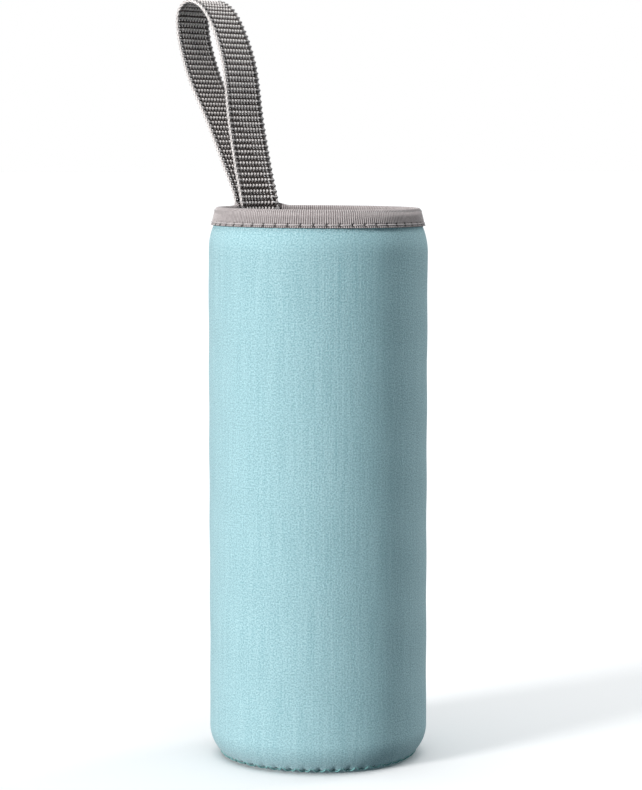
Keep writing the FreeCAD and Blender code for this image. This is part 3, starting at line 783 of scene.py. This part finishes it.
def enclosed(mesh):
    """Signed volume of a closed mesh, positive when its faces point outwards."""
    mesh.calc_loop_triangles()
    points = np.empty(len(mesh.vertices) * 3)
    mesh.vertices.foreach_get("co", points)
    corners = np.empty(len(mesh.loop_triangles) * 3, np.int32)
    mesh.loop_triangles.foreach_get("vertices", corners)
    a, b, c = points.reshape(-1, 3)[corners.reshape(-1, 3)].transpose(1, 0, 2)
    return float(np.einsum("ij,ij->i", a, np.cross(b, c)).sum() / 6)


print("rules end in", end_rule.__name__, "and are run by", grown.__name__)

# %% [markdown]
# The rim is sewn with a plain lockstitch.  Each visible stitch is a short arc of thread that
# dives into a hole at both ends.  One stitch is drawn, and the tree repeats it round the rim.
# The needle thread is outside, the bobbin thread inside.

# %% Lockstitch round the rim
GAP_ANGLE = 0.55 * MM / BINDING_RADIUS
rim_rule, given = new_rule("lockstitch_ring",
                           {"Stitches": INT, "Ring Radius": FLOAT, "Height": FLOAT,
                            "Gap Angle": FLOAT, "Dive": FLOAT, "Thread Radius": FLOAT})
step = calc(rim_rule, "DIVIDE", 2 * math.pi, given["Stitches"])
sweep = calc(rim_rule, "SUBTRACT", step, given["Gap Angle"])
one = node(rim_rule, "GeometryNodeCurveArc",
           {"Resolution": 14, "Radius": given["Ring Radius"], "Sweep Angle": sweep}, mode="RADIUS")
share = node(rim_rule, "GeometryNodeSplineParameter").outputs["Factor"]
from_middle = calc(rim_rule, "ABSOLUTE", calc(rim_rule, "MULTIPLY_ADD", share, 2.0, -1.0))
ends = calc(rim_rule, "POWER", from_middle, 5.0)
sunk = calc(rim_rule, "DIVIDE", calc(rim_rule, "MULTIPLY", ends, given["Dive"]), given["Ring Radius"])
place = node(rim_rule, "GeometryNodeInputPosition").outputs["Position"]
drawn_in = vec(rim_rule, "SCALE", place, scale=calc(rim_rule, "SUBTRACT", 1.0, sunk))
lifted = vec(rim_rule, "ADD", drawn_in, xyz(rim_rule, z=given["Height"]))
one = node(rim_rule, "GeometryNodeSetPosition", {"Geometry": one.outputs["Curve"], "Position": lifted})
stitch = thread_round(rim_rule, one.outputs["Geometry"], given["Thread Radius"], 8)
spots = node(rim_rule, "GeometryNodePoints", {"Count": given["Stitches"]}).outputs[0]
order = node(rim_rule, "GeometryNodeInputIndex").outputs["Index"]
half_gap = calc(rim_rule, "MULTIPLY", given["Gap Angle"], 0.5)
turned = xyz(rim_rule, z=calc(rim_rule, "MULTIPLY_ADD", order, step, half_gap))
copies = node(rim_rule, "GeometryNodeInstanceOnPoints",
              {"Points": spots, "Instance": stitch, "Rotation": turned}).outputs["Instances"]
end_rule(rim_rule, copies, given["Finish"])
lockstitch = {"Stitches": RIM_STITCHES, "Height": STITCH_LINE, "Gap Angle": GAP_ANGLE}
needle_side = {**lockstitch, "Ring Radius": radius_of("rim_needle_thread") - 0.06 * MM,
               "Dive": 0.5 * MM, "Thread Radius": 0.25 * MM}
rim_needle = grown("rim_needle_stitches", rim_rule, needle_side, RIM_THREAD)
bobbin_side = {**lockstitch, "Ring Radius": MOUTH_RADIUS + 0.12 * MM,
               "Dive": -0.5 * MM, "Thread Radius": 0.2 * MM}
rim_bobbin = grown("rim_bobbin_stitches", rim_rule, bobbin_side, RIM_THREAD)

# %% [markdown]
# The base is overlocked to the tube: one thread zigzags over the raw edge, out, under and in
# again, right round the foot.  It follows a rule, so the tree places every point of it from
# its number: how far round, and how far over the edge.

# %% Overlock round the foot
foot_rule, given = new_rule("overlock_ring",
                            {"Stitches": INT, "Points": INT, "Seam Radius": FLOAT,
                             "Seam Height": FLOAT, "Wrap Radius": FLOAT, "First Angle": FLOAT,
                             "Wrap Angle": FLOAT, "Thread Radius": FLOAT})
total = calc(foot_rule, "MULTIPLY", given["Stitches"], given["Points"])
line = node(foot_rule, "GeometryNodeMeshCircle", {"Vertices": total, "Radius": given["Seam Radius"]})
loop = node(foot_rule, "GeometryNodeMeshToCurve", {"Mesh": line.outputs["Mesh"]}).outputs["Curve"]
number = node(foot_rule, "GeometryNodeInputIndex").outputs["Index"]
round_angle = calc(foot_rule, "DIVIDE", calc(foot_rule, "MULTIPLY", number, 2 * math.pi), total)
beat = calc(foot_rule, "MULTIPLY", calc(foot_rule, "DIVIDE", number, given["Points"]), 2.0)
swing = calc(foot_rule, "PINGPONG", beat, 1.0)
eased = calc(foot_rule, "SMOOTH_MIN", calc(foot_rule, "SMOOTH_MAX", swing, 0.04, 0.08), 0.96, 0.08)
wrap = calc(foot_rule, "MULTIPLY_ADD", eased, given["Wrap Angle"], given["First Angle"])
out = calc(foot_rule, "MULTIPLY_ADD", calc(foot_rule, "COSINE", wrap),
           given["Wrap Radius"], given["Seam Radius"])
up = calc(foot_rule, "MULTIPLY_ADD", calc(foot_rule, "SINE", wrap),
          given["Wrap Radius"], given["Seam Height"])
spot = xyz(foot_rule, calc(foot_rule, "MULTIPLY", calc(foot_rule, "COSINE", round_angle), out),
           calc(foot_rule, "MULTIPLY", calc(foot_rule, "SINE", round_angle), out), up)
loop = node(foot_rule, "GeometryNodeSetPosition", {"Geometry": loop, "Position": spot})
foot_thread = thread_round(foot_rule, loop.outputs["Geometry"], given["Thread Radius"], 8)
end_rule(foot_rule, foot_thread, given["Finish"])
over_the_edge = {"Stitches": BASE_STITCHES, "Points": 20, "Seam Radius": BASE_RADIUS + 0.3 * MM,
                 "Seam Height": SEAM_HEIGHT + 0.7 * MM, "Wrap Radius": 1.3 * MM,
                 "First Angle": math.radians(-127.0), "Wrap Angle": math.radians(137.0),
                 "Thread Radius": 0.22 * MM}
overlock = grown("base_overlock_stitches", foot_rule, over_the_edge, SEAM_THREAD)

# %% [markdown]
# The tube is one sheet of laminate, butted edge to edge down the back and closed with a flat
# zigzag.  Its thread follows the curve of the wall, and dips into the cloth at each turn.

# %% Zigzag down the back
back_rule, given = new_rule("zigzag_line",
                            {"Turns": INT, "Points": INT, "Foot": FLOAT, "Head": FLOAT,
                             "Half Width": FLOAT, "Wall Radius": FLOAT, "Thread Radius": FLOAT})
total = calc(back_rule, "MULTIPLY", given["Turns"], given["Points"])
line = node(back_rule, "GeometryNodeMeshLine", {"Count": total, "Offset": (0, 0, MM)})
seam = node(back_rule, "GeometryNodeMeshToCurve", {"Mesh": line.outputs["Mesh"]}).outputs["Curve"]
number = node(back_rule, "GeometryNodeInputIndex").outputs["Index"]
rise = calc(back_rule, "SUBTRACT", given["Head"], given["Foot"])
up = calc(back_rule, "MULTIPLY_ADD", calc(back_rule, "DIVIDE", number, total), rise, given["Foot"])
swing = calc(back_rule, "PINGPONG", calc(back_rule, "DIVIDE", number, given["Points"]), 1.0)
swing = calc(back_rule, "MULTIPLY_ADD", swing, 2.0, -1.0)
side = calc(back_rule, "MULTIPLY", swing, given["Half Width"])
at_turn = calc(back_rule, "POWER", calc(back_rule, "ABSOLUTE", swing), 6.0)
dive = calc(back_rule, "MULTIPLY", at_turn, 0.3 * MM)
wall = calc(back_rule, "SUBTRACT", given["Wall Radius"], dive)
turn = calc(back_rule, "DIVIDE", side, given["Wall Radius"])
spot = xyz(back_rule, calc(back_rule, "MULTIPLY", calc(back_rule, "SINE", turn), wall),
           calc(back_rule, "MULTIPLY", calc(back_rule, "COSINE", turn), wall), up)
seam = node(back_rule, "GeometryNodeSetPosition", {"Geometry": seam, "Position": spot})
back_thread = thread_round(back_rule, seam.outputs["Geometry"], given["Thread Radius"], 8)
end_rule(back_rule, back_thread, given["Finish"])
back_low, back_high = height_of("back_seam_stitches")
BACK_PITCH = 4.0 * MM
back_turns = 2 * round((back_high - back_low) / BACK_PITCH)
down_the_back = {"Turns": back_turns, "Points": 12, "Foot": back_low, "Head": back_high,
                 "Half Width": 1.6 * MM, "Wall Radius": FACE_RADIUS, "Thread Radius": 0.2 * MM}
back_zigzag = grown("back_zigzag_stitches", back_rule, down_the_back, SEAM_THREAD)

# %% [markdown]
# The wrist loop is one length of webbing.  It starts inside the rim, stands up, leans out over
# the crown and comes down again to the outside of the rim.  Its middle line is drawn first, as
# a smooth curve through a few points that are given as reach and height from the inner root.
# Each point also keeps the direction across the webbing, because the loop twists a little.

# %% Middle line of the webbing
WEB_HALF = 0.58 * MM
LOOP_POINTS = [(0.0, 0.0), (6.2, 25.2), (11.1, 48.1), (21.7, 64.2), (30.6, 67.3), (35.9, 64.1),
               (36.0, 56.8), (30.3, 42.6), (17.4, 24.1), (3.4, 0.0)]
INNER_FACE = MOUTH_RADIUS - 0.5 * MM + WEB_HALF
OUTER_FACE = TAIL_OUT_HIGH[1] - WEB_HALF
TWIST = math.radians(10.4)
TWIST_REACH = 65 * MM
WRAP_FADE = 14 * MM
ROOT_SETBACK = 1.7 * MM
SEWN_STRAIGHT = 4 * MM
CURVE_STEPS = 16


def catmull(points, steps):
    """A smooth curve through the points, at even steps of each stretch (centripetal)."""
    points = [np.array(p, float) for p in points]
    points = [2 * points[0] - points[1]] + points + [2 * points[-1] - points[-2]]
    made = []
    for a, b, c, d in zip(points, points[1:], points[2:], points[3:]):
        gaps = [max(float(np.linalg.norm(q - p)), 1e-9) ** 0.5 for p, q in ((a, b), (b, c), (c, d))]
        knots = np.cumsum([0.0] + gaps)
        for t in np.linspace(knots[1], knots[2], steps, endpoint=False):
            ab = (a * (knots[1] - t) + b * (t - knots[0])) / (knots[1] - knots[0])
            bc = (b * (knots[2] - t) + c * (t - knots[1])) / (knots[2] - knots[1])
            cd = (c * (knots[3] - t) + d * (t - knots[2])) / (knots[3] - knots[2])
            abc = (ab * (knots[2] - t) + bc * (t - knots[0])) / (knots[2] - knots[0])
            bcd = (bc * (knots[3] - t) + cd * (t - knots[1])) / (knots[3] - knots[1])
            made.append((abc * (knots[2] - t) + bcd * (t - knots[1])) / (knots[2] - knots[1]))
    return made + [points[-2]]


def webbing_line():
    """The path as a mesh of edges, with the across direction and the wrap round the rim."""
    root = (HINGE.y - ROOT_SETBACK, HINGE.z)
    flat = [(INNER_FACE, TAIL_LOW[2]), (INNER_FACE, TAIL_LOW[2] + SEWN_STRAIGHT)]
    flat += [(root[0] + reach * MM, root[1] + height * MM) for reach, height in LOOP_POINTS]
    flat += [(OUTER_FACE, TAIL_OUT_LOW[2] + SEWN_STRAIGHT), (OUTER_FACE, TAIL_OUT_LOW[2])]
    line = np.array(catmull(flat, CURVE_STEPS))
    mesh = bpy.data.meshes.new("webbing_line")
    count = len(line)
    mesh.from_pydata([(0.0, y, z) for y, z in line], [(i, i + 1) for i in range(count - 1)], [])
    twist = TWIST * np.clip((line[:, 1] - root[1]) / TWIST_REACH, 0, 1.2)
    across = mesh.attributes.new("across", "FLOAT_VECTOR", "POINT")
    across.data.foreach_set("vector", np.stack([np.cos(twist), np.sin(twist), 0 * twist], 1).ravel())
    wrap = mesh.attributes.new("wrap", "FLOAT", "POINT")
    wrap.data.foreach_set("value", 1 - smooth_step(line[:, 1], RIM_TOP, RIM_TOP + WRAP_FADE))
    length = float(np.hypot(*np.diff(line, axis=0).T).sum())
    return mesh, length


web_line, web_length = webbing_line()
print(f"webbing {web_length / MM:.1f} mm long")

# %% [markdown]
# The webbing is a plain weave of thick yarns, pale and charcoal by turns, so its face shows
# rows of pale dots.  Every yarn is placed by how far it is across the width and how far out of
# the face.  Low down, the webbing also wraps round the rim, and the same helper bends it.

# %% Places on the webbing
PICK = 0.975 * MM
END_PITCH = 0.68 * MM
YARN_LEAN = 0.22 * MM


def shifted(tree, across, wrap, tangent, across_by, lift_by):
    """The move from the middle line to a place across the width and out of the face."""
    outward = vec(tree, "NORMALIZE", vec(tree, "CROSS_PRODUCT", tangent, across))
    sideways = vec(tree, "SCALE", across, scale=across_by)
    moved = vec(tree, "ADD", sideways, vec(tree, "SCALE", outward, scale=lift_by))
    sag = calc(tree, "DIVIDE", calc(tree, "MULTIPLY", across_by, across_by), -2.0 * HINGE.y)
    return vec(tree, "ADD", moved, xyz(tree, y=calc(tree, "MULTIPLY", sag, wrap)))


def named_field(tree, name, kind):
    """Reads one of the attributes kept on the middle line."""
    return node(tree, "GeometryNodeInputNamedAttribute", {"Name": name}, data_type=kind).outputs[0]


def place_on_webbing(tree, across_by, lift_by):
    """The same move, for a curve that still carries the middle line's own attributes."""
    across = named_field(tree, "across", "FLOAT_VECTOR")
    wrap = named_field(tree, "wrap", "FLOAT")
    tangent = node(tree, "GeometryNodeInputTangent").outputs["Tangent"]
    return shifted(tree, across, wrap, tangent, across_by, lift_by)


def stepped_path(tree, given, step):
    """The middle line as a curve with a point at every step."""
    path = node(tree, "GeometryNodeMeshToCurve", {"Mesh": given["Geometry"]}).outputs["Curve"]
    return node(tree, "GeometryNodeResampleCurve", {"Curve": path, "Length": step},
                mode="LENGTH").outputs["Curve"]


print(f"picks {PICK / MM:.3f} mm apart, ends {END_PITCH / MM:.2f} mm apart")

# %% [markdown]
# A yarn that runs lengthwise, an end, goes over one crosswise yarn, a pick, and under the
# next, and leans a little as it does.  The tree copies the middle line once for each end, sets
# it across the width, and waves it with a sine.

# %% Rule for the lengthwise yarns
woven_rule, given = new_rule("woven_ends",
                             {"Ends": INT, "End Pitch": FLOAT, "First Across": FLOAT,
                              "Pick": FLOAT, "Lift": FLOAT, "Lean": FLOAT, "Phase": FLOAT,
                              "Yarn Radius": FLOAT})
tree = woven_rule
path = stepped_path(tree, given, calc(tree, "DIVIDE", given["Pick"], 4.0))
many = node(tree, "GeometryNodeDuplicateElements", {"Geometry": path, "Amount": given["Ends"]},
            domain="SPLINE")
far = node(tree, "GeometryNodeSplineParameter").outputs["Length"]
beat = calc(tree, "MULTIPLY_ADD", calc(tree, "DIVIDE", far, given["Pick"]), math.pi, given["Phase"])
column = calc(tree, "MULTIPLY_ADD", many.outputs["Duplicate Index"],
              given["End Pitch"], given["First Across"])
across_by = calc(tree, "MULTIPLY_ADD", calc(tree, "COSINE", beat), given["Lean"], column)
lift_by = calc(tree, "MULTIPLY", calc(tree, "SINE", beat), given["Lift"])
waved = node(tree, "GeometryNodeSetPosition",
             {"Geometry": many.outputs["Geometry"], "Offset": place_on_webbing(tree, across_by, lift_by)})
end_rule(tree, thread_round(tree, waved.outputs["Geometry"], given["Yarn Radius"], 6), given["Finish"])
print(tree.name, "has", len(tree.nodes), "nodes")

# %% [markdown]
# The yarns are spun, so their colour is streaky, and no two are quite alike.  The pale ones
# are smoother and catch the light.  The ends nearest the edges are a middling grey.

# %% Spun yarn, and the lengthwise yarns


def yarn_material(name, shade, light, roughness=0.7, specular=0.3):
    """Spun yarn: soft streaks along it and small differences from yarn to yarn."""
    material, tree, shader = new_material(name, roughness, sheen=0.25, sheen_roughness=0.4,
                                          specular=specular)
    place = node(tree, "ShaderNodeTexCoord").outputs["Object"]
    fine = node(tree, "ShaderNodeTexNoise",
                {"Vector": place, "Scale": 2600.0, "Detail": 2.0}).outputs["Fac"]
    broad = node(tree, "ShaderNodeTexNoise",
                 {"Vector": place, "Scale": 420.0, "Detail": 1.0}).outputs["Fac"]
    tone = calc(tree, "MULTIPLY_ADD", fine, 0.55, calc(tree, "MULTIPLY", broad, 0.45))
    tree.links.new(ramp(tree, tone, [(0.36, shade), (0.62, light)]), shader.inputs["Base Color"])
    bump(tree, shader, fine, 0.08 * MM)
    return material


def row_of_ends(name, finish, count, pitch, phase, lift, radius):
    """Some of the lengthwise yarns, centred on the webbing."""
    values = {"Ends": count, "End Pitch": pitch, "First Across": -(count - 1) / 2 * pitch,
              "Pick": PICK, "Lift": lift, "Lean": YARN_LEAN, "Phase": phase, "Yarn Radius": radius}
    return grown(name, woven_rule, values, finish, web_line.copy())


PALE_YARN = yarn_material("pale_yarn", (0.86, 0.79, 0.76), (1.0, 0.94, 0.91),
                          roughness=0.3, specular=1.0)
DARK_YARN = yarn_material("charcoal_yarn", (0.035, 0.025, 0.022), (0.11, 0.083, 0.075))
SIDE_YARN = yarn_material("side_yarn", (0.16, 0.145, 0.14), (0.42, 0.39, 0.38))
pale_ends = row_of_ends("webbing_pale_ends", PALE_YARN, 9, 2 * END_PITCH, 0.0, 0.46 * MM, 0.36 * MM)
dark_ends = row_of_ends("webbing_charcoal_ends", DARK_YARN, 10, 2 * END_PITCH, math.pi,
                        0.24 * MM, 0.31 * MM)
side_ends = row_of_ends("webbing_side_ends", SIDE_YARN, 2, 20.8 * END_PITCH, 0.0,
                        0.34 * MM, 0.45 * MM)

# %% [markdown]
# The weft is one yarn that crosses the webbing, turns at the edge and comes back, again and
# again.  It is hidden inside the weave except close to the edges, where it rides over the last
# ends on one face, then under them on the way back.  A field keeps how near the edge each
# point is, and the material reads it to turn paler there; away from the edge its darker colour
# is painted shade, where the ends cover it.

# %% Rule for the crosswise yarn
weft_rule, given = new_rule("woven_weft",
                            {"Picks": INT, "Points": INT, "Pick": FLOAT, "Half Width": FLOAT,
                             "Edge": FLOAT, "Edge Lift": FLOAT, "Yarn Radius": FLOAT})
CROSSING_SHARE = 0.85
EDGE_FULL = 1.1 * MM


def sampled(tree, path, far, field, kind):
    """What a field is, some way along a path; returns the node and the value's socket."""
    read = node(tree, "GeometryNodeSampleCurve", {"Curves": path, "Length": far}, mode="LENGTH",
                data_type=kind)
    plug(tree, next(s for s in read.inputs if s.name == "Value" and s.enabled), field)
    return read, next(s for s in read.outputs if s.name == "Value" and s.enabled)


tree = weft_rule
path = node(tree, "GeometryNodeMeshToCurve", {"Mesh": given["Geometry"]}).outputs["Curve"]
total = calc(tree, "MULTIPLY", given["Picks"], given["Points"])
line = node(tree, "GeometryNodeMeshLine", {"Count": total, "Offset": (0, 0, MM)})
yarn = node(tree, "GeometryNodeMeshToCurve", {"Mesh": line.outputs["Mesh"]}).outputs["Curve"]
number = calc(tree, "DIVIDE", node(tree, "GeometryNodeInputIndex").outputs["Index"], given["Points"])
pick = calc(tree, "FLOOR", number)
stroke = calc(tree, "SUBTRACT", number, pick)
crossing = calc(tree, "MINIMUM", calc(tree, "DIVIDE", stroke, CROSSING_SHARE), 1.0)
past = calc(tree, "SUBTRACT", stroke, CROSSING_SHARE)
turning = calc(tree, "MAXIMUM", calc(tree, "DIVIDE", past, 1 - CROSSING_SHARE), 0.0)
way = calc(tree, "MULTIPLY_ADD", calc(tree, "MODULO", pick, 2.0), -2.0, 1.0)
sideways = calc(tree, "MULTIPLY", calc(tree, "MULTIPLY_ADD", crossing, 2.0, -1.0), way)
across_by = calc(tree, "MULTIPLY", sideways, given["Half Width"])
from_edge = calc(tree, "SUBTRACT", given["Half Width"], calc(tree, "ABSOLUTE", across_by))
near = node(tree, "ShaderNodeMapRange",
            {"Value": from_edge, "From Min": given["Edge"], "From Max": EDGE_FULL},
            clamp=True).outputs["Result"]
face = calc(tree, "MULTIPLY", way, calc(tree, "MULTIPLY_ADD", turning, -2.0, 1.0))
lift_by = calc(tree, "MULTIPLY", calc(tree, "MULTIPLY", near, given["Edge Lift"]), face)
steps = calc(tree, "ADD", calc(tree, "ADD", pick, turning), 0.5)
far = calc(tree, "MULTIPLY", steps, given["Pick"])
read, across = sampled(tree, path, far, named_field(tree, "across", "FLOAT_VECTOR"), "FLOAT_VECTOR")
wrap = sampled(tree, path, far, named_field(tree, "wrap", "FLOAT"), "FLOAT")[1]
offset = shifted(tree, across, wrap, read.outputs["Tangent"], across_by, lift_by)
spot = vec(tree, "ADD", read.outputs["Position"], offset)
yarn = node(tree, "GeometryNodeSetPosition", {"Geometry": yarn, "Position": spot}).outputs["Geometry"]
yarn = node(tree, "GeometryNodeStoreNamedAttribute",
            {"Geometry": yarn, "Name": "near_edge", "Value": near},
            data_type="FLOAT", domain="POINT").outputs["Geometry"]
end_rule(tree, thread_round(tree, yarn, given["Yarn Radius"], 6), given["Finish"])
print(tree.name, "has", len(tree.nodes), "nodes")

# %% [markdown]
# The crosswise yarn is painted charcoal where the ends cover it, as painted shade, and a pale
# grey where it shows at the edge.  Its material is the plain yarn's, with that one mix put in before the
# shader.

# %% Crosswise yarn
WEFT_YARN = yarn_material("weft_yarn", (0.03, 0.022, 0.02), (0.09, 0.07, 0.064))
weft_tree = WEFT_YARN.node_tree
weft_colour = weft_tree.nodes["Principled BSDF"].inputs["Base Color"]
near_edge = node(weft_tree, "ShaderNodeAttribute", attribute_name="near_edge").outputs["Fac"]
# The yarn's charcoal ramp is painted shade where the ends cover it; it turns pale grey near the edge.
charcoal = weft_colour.links[0].from_socket
plug(weft_tree, weft_colour, mixed_colour(weft_tree, near_edge, charcoal, (0.6, 0.57, 0.56, 1.0)))
across_the_webbing = {"Picks": int(web_length / PICK), "Points": 26, "Pick": PICK,
                      "Half Width": STRAP_WIDTH / 2 - 0.35 * MM, "Edge": 2.2 * MM,
                      "Edge Lift": 0.56 * MM, "Yarn Radius": 0.27 * MM}
weft = grown("webbing_weft", weft_rule, across_the_webbing, WEFT_YARN, web_line.copy())

# %% [markdown]
# Each edge of the webbing is bound by a pair of pale yarns twisted together, which look like a
# row of beads.  They are two helices round a line that runs along the edge.

# %% Twisted edge cords
edge_rule, given = new_rule("twisted_edges", {"Twist Pitch": FLOAT, "Twist Radius": FLOAT,
                                              "Edge": FLOAT, "Yarn Radius": FLOAT})
tree = edge_rule
path = stepped_path(tree, given, calc(tree, "DIVIDE", given["Twist Pitch"], 14.0))
many = node(tree, "GeometryNodeDuplicateElements", {"Geometry": path, "Amount": 4}, domain="SPLINE")
which = many.outputs["Duplicate Index"]
edge = calc(tree, "MULTIPLY_ADD", calc(tree, "FLOOR", calc(tree, "DIVIDE", which, 2.0)), 2.0, -1.0)
far = node(tree, "GeometryNodeSplineParameter").outputs["Length"]
start = calc(tree, "MULTIPLY", calc(tree, "MODULO", which, 2.0), math.pi)
turn = calc(tree, "MULTIPLY_ADD", calc(tree, "DIVIDE", far, given["Twist Pitch"]), 2 * math.pi, start)
across_by = calc(tree, "MULTIPLY_ADD", calc(tree, "COSINE", turn), given["Twist Radius"],
                 calc(tree, "MULTIPLY", edge, given["Edge"]))
lift_by = calc(tree, "MULTIPLY", calc(tree, "SINE", turn), given["Twist Radius"])
twisted = node(tree, "GeometryNodeSetPosition",
               {"Geometry": many.outputs["Geometry"], "Offset": place_on_webbing(tree, across_by, lift_by)})
end_rule(tree, thread_round(tree, twisted.outputs["Geometry"], given["Yarn Radius"], 7), given["Finish"])
twisted_pair = {"Twist Pitch": 4 * PICK, "Twist Radius": 0.26 * MM,
                "Edge": STRAP_WIDTH / 2 - 0.45 * MM, "Yarn Radius": 0.24 * MM}
edge_cords = grown("webbing_edge_cords", edge_rule, twisted_pair, PALE_YARN, web_line.copy())

# %% [markdown]
# Each end of the webbing is held to the rim by a bar tack, a dense little zigzag.  The same
# kind of rule draws it: the thread goes up and down while it travels along the arc of the rim.

# %% Bar tacks
STROKE_POINTS = 6
tack_rule, given = new_rule("bar_tack", {"Strokes": INT, "Face Radius": FLOAT, "Length": FLOAT,
                                         "Middle": FLOAT, "Half Height": FLOAT,
                                         "Thread Radius": FLOAT})
tree = tack_rule
total = calc(tree, "MULTIPLY", given["Strokes"], STROKE_POINTS)
line = node(tree, "GeometryNodeMeshLine", {"Count": total, "Offset": (0, 0, MM)})
tack = node(tree, "GeometryNodeMeshToCurve", {"Mesh": line.outputs["Mesh"]}).outputs["Curve"]
number = node(tree, "GeometryNodeInputIndex").outputs["Index"]
stroke = calc(tree, "PINGPONG", calc(tree, "DIVIDE", number, float(STROKE_POINTS)), 1.0)
swing = calc(tree, "MULTIPLY_ADD", stroke, 2.0, -1.0)
up = calc(tree, "MULTIPLY_ADD", swing, given["Half Height"], given["Middle"])
along = calc(tree, "MULTIPLY_ADD", calc(tree, "DIVIDE", number, total), 1.0, -0.5)
turn = calc(tree, "DIVIDE", calc(tree, "MULTIPLY", along, given["Length"]), given["Face Radius"])
spot = xyz(tree, calc(tree, "MULTIPLY", calc(tree, "SINE", turn), given["Face Radius"]),
           calc(tree, "MULTIPLY", calc(tree, "COSINE", turn), given["Face Radius"]), up)
tack = node(tree, "GeometryNodeSetPosition", {"Geometry": tack, "Position": spot}).outputs["Geometry"]
end_rule(tree, thread_round(tree, tack, given["Thread Radius"], 6), given["Finish"])
TACK_THREAD = thread_material("bartack_thread", (0.3, 0.27, 0.265), (0.5, 0.46, 0.45))
tack_low, tack_high = height_of("strap_bartack_outer")
dense_zigzag = {"Strokes": 48, "Length": 12.0 * MM, "Middle": (tack_low + tack_high) / 2,
                "Half Height": (tack_high - tack_low) / 2, "Thread Radius": 0.16 * MM}
outer_tack = {**dense_zigzag, "Face Radius": OUTER_FACE + WEB_HALF + 0.06 * MM}
inner_tack = {**dense_zigzag, "Face Radius": INNER_FACE - WEB_HALF - 0.06 * MM}
tack_outer = grown("bar_tack_outer", tack_rule, outer_tack, TACK_THREAD)
tack_inner = grown("bar_tack_inner", tack_rule, inner_tack, TACK_THREAD)

# %% [markdown]
# The loop hangs its weight on the back of the rim and has drawn the cloth there up by half a
# millimetre.  The same pull is given to every piece near the rim, so they stay together.

# %% Pull of the loop on the rim
RIM_PULL = 0.55 * MM


def pulled_by_loop(piece):
    """Raises the points near the rim, most at the back and not at all at the front."""
    points = np.empty(len(piece.data.vertices) * 3)
    piece.data.vertices.foreach_get("co", points)
    points = points.reshape(-1, 3)
    reach = np.maximum(np.hypot(points[:, 0], points[:, 1]), MM)
    behind = 0.5 + 0.5 * points[:, 1] / reach
    points[:, 2] += RIM_PULL * behind * smooth_step(points[:, 2], RIM_TOP * 0.6, BINDING_FOOT)
    piece.data.vertices.foreach_set("co", points.ravel())
    piece.data.update()


for piece in (tube_face, tube_foam, tube_lining, rim_tape, rim_needle, rim_bobbin):
    pulled_by_loop(piece)
print(f"rim raised by up to {RIM_PULL / MM:.2f} mm at the back")

# %% [markdown]
# Last, every still piece says which body it moves with, which imported nodes it stands for, and which
# material slot it belongs to.  The webbing crosses the joint at the rim; its pieces are set in
# place in the world, and the imported strap pieces that they stand for are hidden.

# %% Bodies, nodes and slots
still = [
    (tube_face, "aqua_knit", ["body_face_fabric"]),
    (tube_foam, "foam_rubber", ["body_foam"]),
    (tube_lining, "lining_knit", ["body_lining"]),
    (base_face, "aqua_knit", ["base_face_fabric"]),
    (base_foam, "foam_rubber", ["base_foam"]),
    (base_lining, "lining_knit", ["base_lining"]),
    (rim_tape, "binding_tape", ["rim_binding"]),
    (rim_needle, "rim_thread", ["rim_needle_thread"]),
    (rim_bobbin, "rim_thread", ["rim_bobbin_thread"]),
    (overlock, "seam_thread", ["base_seam_stitches"]),
    (back_zigzag, "seam_thread", ["back_seam_stitches"]),
    (tack_outer, "bartack_thread", ["strap_bartack_outer"]),
    (tack_inner, "bartack_thread", ["strap_bartack_inner"]),
]
for piece, slot, nodes in still:
    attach(piece, "sleeve")
    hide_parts(*nodes)

bending = [pale_ends, dark_ends, side_ends, weft, edge_cords]
for piece in bending:
    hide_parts("strap_loop", "strap_tail_inner", "strap_tail_outer")
    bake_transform(piece)
print("pieces:", len(still), "still and", len(bending), "that bend")
